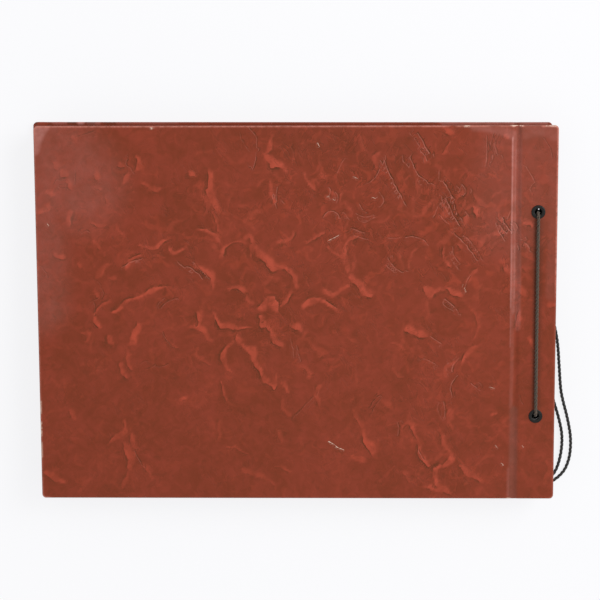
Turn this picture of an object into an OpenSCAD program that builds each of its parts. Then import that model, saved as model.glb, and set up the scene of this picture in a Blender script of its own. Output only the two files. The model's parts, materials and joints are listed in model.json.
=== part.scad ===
// Cord-laced photo album lying face down: back cover up, spine edge towards +X,
// head of the album towards +Y. Lengths are in millimetres.

/* [Covers] */
// Length of a cover from its fore-edge to the spine edge
cover_l = 381; // [300:1:420]
// Height of a cover from head to tail
cover_h = 279; // [220:1:320]
// Thickness of the pasteboard inside a cover
board_t = 2.4; // [1.8:0.1:3.2]
// Thickness of the embossed covering paper
covering_t = 0.4; // [0.3:0.05:0.6]
// Thickness of the lining paper inside a cover
lining_t = 0.25; // [0.15:0.05:0.3]
// Width of the covering that is turned in over a board's inner face
turn_in = 6; // [5:0.5:8]
// Radius of a cover's outer corners
corner_r = 3; // [1.5:0.5:5]
// How far the front cover lies past the back cover towards the fore-edge
front_lap = 3.2; // [0:0.1:3.4]

/* [Hinges] */
// Width of the stiff strip beside the spine edge
strip_w = 26; // [24:0.5:32]
// Width of the groove between the strip and the main board
groove_w = 7.5; // [6:0.5:10]
// Depth of the groove below the cover's outer surface
groove_depth = 1.4; // [0.8:0.1:1.6]
// Thickness of the covering and its cloth backing in the groove
fold_t = 0.8; // [0.5:0.1:0.9]
// Slit between the two halves of the groove, along the fold
fold_gap = 0.6; // [0.4:0.1:1]

/* [Leaves] */
// Number of leaves, half of them turning with each cover
leaf_count = 22; // [10:2:24]
// Thickness of a leaf
leaf_t = 0.35; // [0.25:0.05:0.45]
// Thickness of a guard strip between two leaves
guard_t = 0.35; // [0.3:0.05:0.5]
// How far the leaves stay inside the covers at head and tail
head_recess = 3.5; // [2:0.5:6]
// How far the leaves stay inside the covers at the fore-edge
fore_recess = 4; // [2:0.5:8]
// How far the bound margins stay inside the spine edge
spine_recess = 1.5; // [1:0.5:3]
// Distance from the covers' fold to the outermost leaf's crease
crease_inset = 2; // [1:0.5:4]
// How much further out each leaf's crease lies than its neighbour's
crease_step = 0.4; // [0.38:0.01:0.5]
// Slit between a leaf's page and its bound margin, along the crease
crease_gap = 0.3; // [0.25:0.05:0.5]
// Hole through the margins and guards for the cord
margin_hole_d = 5.5; // [5:0.1:6]

/* [Eyelets and cord] */
// Distance between the two lacing holes
hole_pitch = 152.4; // [110:0.2:170]
// Distance from the spine edge to the middle of a lacing hole
hole_inset = 14.1; // [13:0.1:16]
// Bore of an eyelet
eyelet_bore_d = 5.2; // [5:0.1:5.6]
// Wall of an eyelet's barrel
eyelet_wall = 0.4; // [0.3:0.05:0.5]
// Outside diameter of an eyelet's flange
eyelet_flange_d = 10.2; // [9:0.2:11]
// Height of an eyelet's flange above the cover
eyelet_rim = 0.6; // [0.4:0.05:0.7]
// Outside diameter of an eyelet's clinched end
clinch_d = 8.6; // [8:0.2:9.2]
// Clearance round an eyelet in its cover
eyelet_fit = 0.05; // [0.03:0.01:0.1]
// Diameter of the binding cord
cord_d = 2.5; // [2.2:0.1:2.5]
// Clearance of the cord from what it passes or lies on
cord_gap = 0.1; // [0.05:0.01:0.15]
// Bend of the cord's centreline where it enters an eyelet
cord_bend_r = 2.5; // [2.5:0.1:3]
// How far the cord leans in an eyelet towards the other eyelet
cord_lean = 0.7; // [0:0.1:0.7]
// Radius of the bow's knot
knot_r = 6; // [5:0.5:6]
// Rounding of the bow's knot
knot_round = 2; // [1:0.1:2.4]
// Diameter of the metal tag on each end of the cord
tag_d = 2.6; // [2.5:0.05:2.7]
// Length of the metal tag on each end of the cord
tag_l = 12; // [8:1:16]

/* [Hidden] */
$fn = 48;
// How far a cutting shape reaches past the face that it cuts
overcut = 1;
cover_t = board_t + 2 * covering_t;
fold_x = cover_l / 2 - strip_w - groove_w / 2;
panel_reach = fold_x + cover_l / 2;
strip_reach = strip_w + groove_w / 2;
front_panel_reach = panel_reach + front_lap;
front_strip_reach = strip_reach - front_lap;
front_h = 2 * cord_d + eyelet_rim + 3 * cord_gap;
front_tilt = asin(front_h / front_panel_reach);
stack_z = front_h + cover_t;
stack_t = leaf_count * leaf_t + (leaf_count + 1) * guard_t;
top_z = stack_z + stack_t + cover_t;
spine_x = cover_l / 2 - spine_recess;
leaf_h = cover_h - 2 * head_recess;
hole_x = cover_l / 2 - hole_inset;
barrel_r = eyelet_bore_d / 2 + eyelet_wall;
lay_z = cord_d / 2 + cord_gap;
run_lift = eyelet_rim + cord_gap + cord_d / 2;
front_run_z = front_h - run_lift;
back_run_z = top_z + run_lift;
knot_h = front_run_z + cord_d / 2;
tube_sides = 8;
board_colour = [0.55, 0.47, 0.36];
covering_colour = [0.46, 0.21, 0.16];
lining_colour = [0.16, 0.15, 0.14];
leaf_colour = [0.09, 0.09, 0.09];
guard_colour = [0.13, 0.12, 0.12];
eyelet_colour = [0.06, 0.06, 0.06];
tag_colour = [0.45, 0.43, 0.38];
cord_colour = [0.17, 0.15, 0.12];

// The cord's free ends and bow loops lie on the surface under the spine edge.
// The tails show beside the spine edge below the middle of the album.
tail_outer_route = [
    [181.5, -1.7], [185.6, -3.8], [189, -7.6], [191.2, -12.4], [192.6, -17.8],
    [193.8, -24.5], [194.7, -32], [195.3, -40], [195.9, -48], [196.5, -56],
    [197.4, -64], [199.3, -72.4], [201.5, -80.6], [203.4, -89], [204.8, -97.6],
    [205.1, -106], [204.2, -114.6], [201.6, -122.6], [197.8, -128], [192.8, -132.2],
    [187.8, -135.4], [182.2, -136], [177, -133.4], [174.4, -128.4], [174, -122],
    [174, -115]
];
tail_inner_route = [
    [180, -4], [183, -6.9], [185.4, -10.8], [186.8, -15.6], [187.3, -22],
    [187.3, -30], [187.1, -38], [187.2, -46], [187.8, -54], [189.4, -62],
    [191.6, -70], [194.1, -78], [196.6, -87], [198.2, -95], [198.6, -102.6],
    [198, -110.4], [196.6, -117.6], [194.6, -123.6], [192, -128], [188.4, -131.2],
    [184, -131.6], [180.6, -129], [179.2, -124], [179, -117]
];
loop_lower_route = [
    [177.8, -5.2], [178.9, -11], [180.4, -18], [182, -25], [183, -31.6],
    [183.1, -38], [180.9, -42.8], [177, -44.1], [173.2, -41.6], [171.8, -36],
    [172.2, -28], [173, -20], [174, -12], [175, -5.2]
];
loop_upper_route = [
    [177.8, 5.2], [179.1, 11.6], [180.9, 19], [182.7, 27], [183.8, 34.6],
    [183.8, 41.4], [181.4, 46.2], [177.2, 47.4], [173.4, 44.8], [171.9, 39],
    [172.2, 30], [173, 21], [174.1, 12.6], [175, 5.2]
];

function two_digits(i) = i < 10 ? str("0", i) : str(i);
function leaf_name(i) = str("leaf_", two_digits(i));
function from_cover(i) = min(i - 1, leaf_count - i);
function crease_x(i) = fold_x - crease_inset - crease_step * from_cover(i);
function margin_z(i) = stack_z + guard_t + (i - 1) * (leaf_t + guard_t);
function leaf_slope(i) = front_tilt * (leaf_count - i) / leaf_count;
function guard_crease(j) = crease_x(max(1, min(leaf_count, j > leaf_count / 2 ? j + 1 : j)));

// Rectangle from x0 to x1 and h high, with its two corners at x0 rounded.
module rounded_end(x0, x1, h, r) {
    translate([x0, r - h / 2]) square([x1 - x0, h - 2 * r]);
    translate([x0 + r, -h / 2]) square([x1 - x0 - r, h]);
    for (s = [-1, 1]) translate([x0 + r, s * (h / 2 - r)]) circle(r = r);
}

// Slab whose outline is the child shape, from z0 up by t.
module slab(z0, t) {
    translate([0, 0, z0]) linear_extrude(t) children();
}

// The pieces of a cover are drawn with the fold along x = 0, the fore-edge towards -X,
// and the outer surface at z = 0 facing up.
module board_shape(reach) {
    board_h = cover_h - 2 * covering_t;
    slab(-covering_t - board_t, board_t)
        rounded_end(covering_t - reach, -groove_w / 2 - covering_t, board_h, corner_r - covering_t);
}

module covering_shape(reach) {
    difference() {
        slab(-cover_t, cover_t) rounded_end(-reach, -groove_w / 2, cover_h, corner_r);
        board_shape(reach);
        slab(-cover_t - overcut, covering_t + overcut) lining_outline(reach);
    }
    translate([-groove_w / 2, -cover_h / 2, -groove_depth - fold_t])
        cube([(groove_w - fold_gap) / 2, cover_h, fold_t]);
}

module lining_outline(reach) {
    x0 = turn_in - reach;
    translate([x0, turn_in - cover_h / 2])
        square([-groove_w / 2 - covering_t - x0, cover_h - 2 * turn_in]);
}

module lining_shape(reach) {
    slab(-covering_t - board_t - lining_t, lining_t) lining_outline(reach);
}

// A strip is the same build as a main panel, short and turned round about the fold.
module turned() {
    mirror([1, 0, 0]) children();
}

// Holes of radius r for the two eyelets, in a strip that is drawn like a cover.
module eyelet_holes(r) {
    for (s = [-1, 1])
        translate([fold_x - hole_x, s * hole_pitch / 2, -cover_t - overcut])
            cylinder(r = r, h = cover_t + 2 * overcut);
}

module strip_board_shape(reach) {
    turned() difference() {
        board_shape(reach);
        eyelet_holes(barrel_r + eyelet_fit);
    }
}

module strip_covering_shape(reach) {
    turned() difference() {
        covering_shape(reach);
        eyelet_holes(barrel_r + eyelet_fit);
    }
}

module strip_lining_shape(reach) {
    turned() difference() {
        lining_shape(reach);
        eyelet_holes(clinch_d / 2 + eyelet_fit);
    }
}

// Eyelet on the axis x = y = 0 of a cover whose outer surface is at z = 0.
module eyelet_shape() {
    half = eyelet_rim / 2;
    rim_in = eyelet_bore_d / 2 + half;
    rim_out = eyelet_flange_d / 2 - half;
    rotate_extrude() {
        translate([rim_in, 0]) square([rim_out - rim_in, eyelet_rim]);
        translate([rim_in, half]) circle(r = half);
        translate([rim_out, half]) circle(r = half);
        translate([eyelet_bore_d / 2, -cover_t]) square([eyelet_wall, cover_t + half]);
        translate([eyelet_bore_d / 2, -cover_t]) square([(clinch_d - eyelet_bore_d) / 2, covering_t]);
    }
}

module on_back() {
    translate([fold_x, 0, top_z]) children();
}

// The front cover's strip lies level, outer surface down.
module on_front_strip() {
    translate([fold_x, 0, front_h]) mirror([0, 0, 1]) children();
}

// The front cover's panel slopes down from its fold until its fore-edge rests.
module on_front() {
    translate([fold_x, 0, front_h]) rotate([0, -front_tilt, 0]) mirror([0, 0, 1]) children();
}

module back_board() {
    color(board_colour) on_back() board_shape(panel_reach);
}

module back_covering() {
    color(covering_colour) on_back() covering_shape(panel_reach);
}

module back_lining() {
    color(lining_colour) on_back() lining_shape(panel_reach);
}

module back_strip_board() {
    color(board_colour) on_back() strip_board_shape(strip_reach);
}

module back_strip_covering() {
    color(covering_colour) on_back() strip_covering_shape(strip_reach);
}

module back_strip_lining() {
    color(lining_colour) on_back() strip_lining_shape(strip_reach);
}

module front_board() {
    color(board_colour) on_front() board_shape(front_panel_reach);
}

module front_covering() {
    color(covering_colour) on_front() covering_shape(front_panel_reach);
}

module front_lining() {
    color(lining_colour) on_front() lining_shape(front_panel_reach);
}

module front_strip_board() {
    color(board_colour) on_front_strip() strip_board_shape(front_strip_reach);
}

module front_strip_covering() {
    color(covering_colour) on_front_strip() strip_covering_shape(front_strip_reach);
}

module front_strip_lining() {
    color(lining_colour) on_front_strip() strip_lining_shape(front_strip_reach);
}

// Eyelet through the back strip at the head (s = 1) or the tail (s = -1).
module back_eyelet(s) {
    color(eyelet_colour) translate([hole_x, s * hole_pitch / 2, top_z]) eyelet_shape();
}

module front_eyelet(s) {
    color(eyelet_colour) translate([hole_x, s * hole_pitch / 2, front_h])
        mirror([0, 0, 1]) eyelet_shape();
}

// One bound strip of paper from x0 to the spine edge, drilled for the cord.
module bound_strip(x0, z0, t) {
    difference() {
        translate([x0, -leaf_h / 2, z0]) cube([spine_x - x0, leaf_h, t]);
        for (s = [-1, 1])
            translate([hole_x, s * hole_pitch / 2, z0 - overcut])
                cylinder(d = margin_hole_d, h = t + 2 * overcut);
    }
}

// The margins of all the leaves: the part of each leaf that is laced in.
module leaf_margins() {
    color(leaf_colour)
        for (i = [1:leaf_count]) bound_strip(crease_x(i) + crease_gap, margin_z(i), leaf_t);
}

// Loose strips between the margins, which make room for what is pasted on the leaves.
module guard_strips() {
    color(guard_colour)
        for (j = [0:leaf_count])
            bound_strip(guard_crease(j) + crease_gap, stack_z + j * (leaf_t + guard_t), guard_t);
}

// The page of leaf i, from its crease to the fore-edge, counted from the front cover.
module leaf(i) {
    page_l = crease_x(i) + cover_l / 2 - fore_recess;
    color(leaf_colour)
        translate([crease_x(i), -leaf_h / 2, margin_z(i) + leaf_t / 2])
            rotate([0, -leaf_slope(i), 0])
                translate([-page_l, 0, -leaf_t / 2]) cube([page_l, leaf_h, leaf_t]);
}

// Quarter bend of the cord about an axis along X, from +Y round to +Z.
module cord_bend() {
    rotate([90, 0, 90]) rotate_extrude(angle = 90) translate([cord_bend_r, 0]) circle(d = cord_d);
}

// One half of the lacing, at the head: run on the front strip, up through the holes,
// and half of the run on the back strip.
module lacing_half() {
    rise_y = hole_pitch / 2 - cord_lean;
    bend_y = rise_y - cord_bend_r;
    knot_y = knot_r - cord_d / 2;
    translate([0, knot_y, front_run_z]) rotate([-90, 0, 0]) cylinder(d = cord_d, h = bend_y - knot_y);
    translate([0, bend_y, front_run_z + cord_bend_r]) rotate([-90, 0, 0]) cord_bend();
    translate([0, rise_y, front_run_z + cord_bend_r])
        cylinder(d = cord_d, h = back_run_z - front_run_z - 2 * cord_bend_r);
    translate([0, bend_y, back_run_z - cord_bend_r]) cord_bend();
    translate([0, 0, back_run_z]) rotate([-90, 0, 0]) cylinder(d = cord_d, h = bend_y);
}

module lacing() {
    color(cord_colour) translate([hole_x, 0, 0]) {
        lacing_half();
        mirror([0, 1, 0]) lacing_half();
    }
}

// The bow's knot, pulled flat between the front strip and what the album lies on.
module bow_knot() {
    color(cord_colour) translate([hole_x, 0, 0]) rotate_extrude() {
        square([knot_r - knot_round, knot_h]);
        translate([0, knot_round]) square([knot_r, knot_h - 2 * knot_round]);
        for (z = [knot_round, knot_h - knot_round])
            translate([knot_r - knot_round, z]) circle(r = knot_round);
    }
}

function way(route, i) =
    let (a = route[max(i - 1, 0)], b = route[min(i + 1, len(route) - 1)])
    (b - a) / norm(b - a);
function ring(route, i) = [
    for (k = [0:tube_sides - 1])
        let (turn = 360 * (k + 0.5) / tube_sides, t = way(route, i), side = cord_d / 2 * cos(turn))
        [route[i].x - t.y * side, route[i].y + t.x * side, lay_z + cord_d / 2 * sin(turn)]
];

// Round cord along a route of plan points, lying at one height.
module tube(route) {
    last = len(route) - 1;
    points = [for (i = [0:last]) each ring(route, i)];
    walls = [
        for (i = [0:last - 1], k = [0:tube_sides - 1])
            let (a = i * tube_sides + k, b = i * tube_sides + (k + 1) % tube_sides)
            [a, a + tube_sides, b + tube_sides, b]
    ];
    start_cap = [for (k = [0:tube_sides - 1]) k];
    end_cap = [for (k = [tube_sides - 1:-1:0]) last * tube_sides + k];
    polyhedron(points, concat([start_cap, end_cap], walls));
}

// Metal tag that carries on from the end of a route.
module tag(route) {
    last = len(route) - 1;
    t = way(route, last);
    color(tag_colour)
        translate([route[last].x, route[last].y, lay_z])
            rotate([0, 90, atan2(t.y, t.x)]) cylinder(d = tag_d, h = tag_l);
}

module cord_stretch(route) {
    color(cord_colour) tube(route);
}

back_board();
back_covering();
back_lining();
back_strip_board();
back_strip_covering();
back_strip_lining();
front_board();
front_covering();
front_lining();
front_strip_board();
front_strip_covering();
front_strip_lining();
back_eyelet(1);  // back_eyelet_upper
back_eyelet(-1);  // back_eyelet_lower
front_eyelet(1);  // front_eyelet_upper
front_eyelet(-1);  // front_eyelet_lower
leaf_margins();
guard_strips();
for (i = [1:leaf_count]) leaf(i);
lacing();
bow_knot();
cord_stretch(loop_upper_route);  // bow_loop_upper
cord_stretch(loop_lower_route);  // bow_loop_lower
cord_stretch(tail_outer_route);  // tail_outer
cord_stretch(tail_inner_route);  // tail_inner
tag(tail_outer_route);  // tag_outer
tag(tail_inner_route);  // tag_inner
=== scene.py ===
"""Cord-laced photo album, lying face down with its back cover up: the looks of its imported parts."""
import json
import math

import bmesh
import bpy
import numpy as np
from bpy.props import FloatProperty, FloatVectorProperty, IntProperty, PointerProperty
from bpy.types import Operator, Panel, PropertyGroup
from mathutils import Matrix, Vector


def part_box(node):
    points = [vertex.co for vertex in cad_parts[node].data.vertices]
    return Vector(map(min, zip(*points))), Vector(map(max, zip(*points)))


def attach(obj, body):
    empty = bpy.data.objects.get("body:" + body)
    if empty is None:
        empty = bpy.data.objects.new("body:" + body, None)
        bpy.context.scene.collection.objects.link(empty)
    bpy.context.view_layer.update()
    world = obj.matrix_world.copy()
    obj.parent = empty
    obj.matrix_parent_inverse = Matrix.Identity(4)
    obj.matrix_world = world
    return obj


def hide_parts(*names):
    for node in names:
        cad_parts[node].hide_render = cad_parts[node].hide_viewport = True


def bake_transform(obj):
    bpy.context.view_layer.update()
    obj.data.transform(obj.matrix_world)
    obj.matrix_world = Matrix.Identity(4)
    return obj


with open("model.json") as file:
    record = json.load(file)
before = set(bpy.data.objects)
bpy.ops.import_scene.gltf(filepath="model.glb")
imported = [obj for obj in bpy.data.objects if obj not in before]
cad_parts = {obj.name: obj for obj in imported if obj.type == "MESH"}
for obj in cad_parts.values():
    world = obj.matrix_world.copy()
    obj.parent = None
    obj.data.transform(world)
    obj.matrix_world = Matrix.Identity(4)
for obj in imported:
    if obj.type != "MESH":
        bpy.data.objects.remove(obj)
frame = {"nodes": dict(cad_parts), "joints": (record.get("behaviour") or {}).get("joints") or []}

bl_info = {
    "name": "Cord-laced photo album",
    "version": (1, 0, 0),
    "blender": (4, 5, 0),
    "location": "View3D > Sidebar > Album",
    "description": "Crushed-paper covers, black leaves and twisted cord for a laced photo album",
    "category": "Add Mesh",
}

MM = 0.001
PI = math.pi
SIDES = (-1, 1)
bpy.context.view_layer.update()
HINGES = {joint["name"]: joint for joint in frame["joints"]}
FOLD_X, _, TOP_Z = HINGES["back_cover_hinge"]["pos_m"]
FRONT_Z = HINGES["front_cover_hinge"]["pos_m"][2]
PANEL_LO, PANEL_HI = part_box("back_covering")
SPINE_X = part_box("back_strip_covering")[1].x
COVER_T = PANEL_HI.z - PANEL_LO.z
COVER_HALF_H = PANEL_HI.y
PANEL_REACH = FOLD_X - PANEL_LO.x
STRIP_REACH = SPINE_X - FOLD_X
FRONT_LAP = SPINE_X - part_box("front_strip_covering")[1].x
FRONT_TILT = math.asin(FRONT_Z / (PANEL_REACH + FRONT_LAP))
LACING_LO, LACING_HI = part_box("lacing")
KNOT_LO, KNOT_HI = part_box("bow_knot")
EYELET_LO, EYELET_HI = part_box("back_eyelet_upper")
HOLE_X = (KNOT_LO.x + KNOT_HI.x) / 2
HOLE_Y = (EYELET_LO.y + EYELET_HI.y) / 2
UP = (0, 0, 1.0)

# The longest step along a cord. Then half the floor's side and its height, the colour of its glow,
# and the place and side of the large light, in metres.
CORD_STEP = 0.55 * MM
FLOOR_REACH, FLOOR_Z = 60.0, -0.2 * MM
FLOOR_GLOW = (0.985, 0.985, 1.0)
KEY_PLACE, KEY_SIZE = (1.5, 0.9, 1.5), 1.4


def length(name, text, value, low, high):
    """A length that a user may set, given here in millimetres."""
    return FloatProperty(name=name, description=text, default=value * MM, min=low * MM, max=high * MM,
                         unit="LENGTH", subtype="DISTANCE", precision=5)


def angle(name, text, degrees):
    """An angle that a user may set, given here in degrees."""
    return FloatProperty(name=name, description=text, subtype="ANGLE", default=math.radians(degrees))


def amount(name, text, value, low=0, high=1000):
    """A plain number that a user may set."""
    return FloatProperty(name=name, description=text, default=value, min=low, max=high)


def colour(name, text, value):
    """A linear colour that a user may set."""
    return FloatVectorProperty(name=name, description=text, default=value, min=0, max=1,
                               size=3, subtype="COLOR")


class AlbumCovers(PropertyGroup):
    """Sizes and colours of the covers."""
    paper: length("Paper", "Thickness of the covering paper", 0.4, 0.2, 0.6)
    arris: length("Arris", "Rounding of the covering round a board's edge", 1.1, 0.5, 1.5)
    corner: length("Corner", "Radius of a cover's outer corners", 3, 2, 5)
    turn_in: length("Turn-in", "Covering turned in over a board's inner face", 6, 5, 8)
    groove: length("Groove", "Width of the groove beside the strip", 7.5, 6, 10)
    groove_depth: length("Groove depth", "Depth of the groove", 1.4, 0.8, 1.6)
    fold: length("Fold", "Thickness of covering and cloth in the groove", 0.8, 0.7, 0.9)
    relief: length("Relief", "Height of the crushed grain", 0.2, 0, 0.25)
    cell: length("Cell", "Spacing of the covering's mesh", 1.28, 1.2, 4)
    eyelet_hole: length("Eyelet hole", "Radius of the hole round an eyelet", 3.05, 3, 3.3)
    ground: colour("Ground", "Covering between the creases", (0.260, 0.0448, 0.0212))
    deep: colour("Deep", "Covering where it is darkest", (0.196, 0.0362, 0.0132))
    # Also the colour of the painted highlights on the lit side of the fine crease nets.
    vein: colour("Vein", "Covering on the flattened creases", (0.460, 0.0700, 0.0330))
    # Colour of painted shade: the shadow line and shade along a fold's sharp side, dark fine creases and the
    # dim flanks of fine creases; also random dull patches.
    line: colour("Line", "Covering along a crease's sharp side", (0.108, 0.0300, 0.0090))
    # Colour of rubbed paper on the edges, partly a painted highlight along the arris; it also draws the
    # painted highlights on the lit flanks of fine creases.
    worn: colour("Worn", "Paper where the colour is rubbed off", (0.60, 0.215, 0.165))
    # Colour of painted shade beside the cord, round the eyelets and in the foot of the groove, together with
    # some dirt.
    grime: colour("Grime", "Dark dirt and the dye that the cord has rubbed off", (0.085, 0.030, 0.014))
    # Colour of dust and fine wear together with painted sheen: painted highlights on the lit wall of the
    # groove and a pink sheen on the flat and on busy folds.
    haze: colour("Haze", "Dust and fine wear on the flat of the cover", (0.64, 0.29, 0.255))
    bare: colour("Bare", "Paper where it is chipped or scratched", (0.78, 0.60, 0.48))
    lining: colour("Lining", "Lining paper inside the covers", (0.034, 0.031, 0.028))
    board: colour("Board", "Pasteboard", (0.30, 0.235, 0.16))


class AlbumCord(PropertyGroup):
    """Sizes and colours of the cord, its tags and the eyelets."""
    thickness: length("Thickness", "Diameter of the cord", 2.5, 2, 3)
    lay: length("Lay", "Length of one turn of a ply", 9.6, 6, 15)
    plies: IntProperty(name="Plies", description="Strands twisted into the cord", default=3, min=2, max=4)
    lie: length("Lie", "Height of the cord's middle above the surface", 1.35, 1.25, 1.5)
    lean: length("Lean", "Lean of the cord in an eyelet towards the other one", 0.7, 0, 0.7)
    tag: length("Tag", "Diameter of a metal tag", 2.6, 2.5, 2.8)
    yarn: colour("Yarn", "Black yarn", (0.0135, 0.0125, 0.0115))
    fleck: colour("Fleck", "Tan fleck in the yarn", (0.23, 0.165, 0.10))
    faded: colour("Faded", "Yarn that light has faded", (0.066, 0.045, 0.029))
    enamel: colour("Enamel", "Black enamel of the eyelets", (0.008, 0.007, 0.006))
    metal: colour("Metal", "Plated metal of the tags", (0.50, 0.47, 0.42))


class AlbumLeaves(PropertyGroup):
    """Sizes and colours of the leaves and guard strips."""
    paper: length("Leaf paper", "Thickness of a leaf", 0.35, 0.2, 0.5)
    hole: length("Hole", "Radius of a margin's lacing hole", 2.75, 2.5, 3)
    crease: length("Crease", "Half the width in which a leaf bends", 0.8, 0.4, 2)
    wave: length("Wave", "Waviness of a leaf", 0.06, 0, 0.1)
    black: colour("Black paper", "Leaf paper", (0.017, 0.016, 0.0155))
    fibre: colour("Fibre", "Fibres and dust on the leaf paper", (0.075, 0.070, 0.064))
    guard: colour("Guard paper", "Guard strips", (0.030, 0.027, 0.025))


class AlbumStage(PropertyGroup):
    """Camera and light. The camera stands where the photograph was taken from."""
    camera_x: length("Camera X", "Camera place along the album", 41.41, -3000, 3000)
    camera_y: length("Camera Y", "Camera place towards the head", 343.14, -3000, 3000)
    camera_z: length("Camera height", "Camera height above the floor", 1763.54, 500, 5000)
    tilt: angle("Tilt", "Camera turn about X", -10.832)
    pan: angle("Pan", "Camera turn about Y", 1.23)
    roll: angle("Roll", "Camera turn about Z", -0.237)
    lens: amount("Lens", "Focal length in millimetres", 144.55, 20, 300)
    sky: amount("Sky", "Strength of the light from all round", 0.66)
    key: amount("Key", "Power of the large light in watts", 34)
    glow: amount("Glow", "Light that the floor itself gives", 0.835)
    floor: colour("Floor", "Pale floor", (0.14, 0.14, 0.145))


# Routes of the free cord on the surface under the spine edge, in millimetres.
ROUTES = {
    "tail_outer": [(181.5, -1.7), (185.6, -3.8), (189, -7.6), (191.2, -12.4), (192.6, -17.8),
                   (193.8, -24.5), (194.7, -32), (195.3, -40), (195.9, -48), (196.5, -56), (197.4, -64),
                   (199.3, -72.4), (201.5, -80.6), (203.4, -89), (204.8, -97.6), (205.1, -106),
                   (204.2, -114.6), (201.6, -122.6), (197.8, -128), (192.8, -132.2), (187.8, -135.4),
                   (182.2, -136), (177, -133.4), (174.4, -128.4), (174, -122), (174, -115)],
    "tail_inner": [(180, -4), (183, -6.9), (185.4, -10.8), (186.8, -15.6), (187.3, -22), (187.3, -30),
                   (187.1, -38), (187.2, -46), (187.8, -54), (189.4, -62), (191.6, -70), (194.1, -78),
                   (196.6, -87), (198.2, -95), (198.6, -102.6), (198, -110.4), (196.6, -117.6),
                   (194.6, -123.6), (192, -128), (188.4, -131.2), (184, -131.6), (180.6, -129),
                   (179.2, -124), (179, -117)],
    "bow_loop_lower": [(177.8, -5.2), (178.9, -11), (180.4, -18), (182, -25), (183, -31.6), (183.1, -38),
                       (180.9, -42.8), (177, -44.1), (173.2, -41.6), (171.8, -36), (172.2, -28), (173, -20),
                       (174, -12), (175, -5.2)],
    "bow_loop_upper": [(177.8, 5.2), (179.1, 11.6), (180.9, 19), (182.7, 27), (183.8, 34.6), (183.8, 41.4),
                       (181.4, 46.2), (177.2, 47.4), (173.4, 44.8), (171.9, 39), (172.2, 30), (173, 21),
                       (174.1, 12.6), (175, 5.2)],
}

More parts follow.
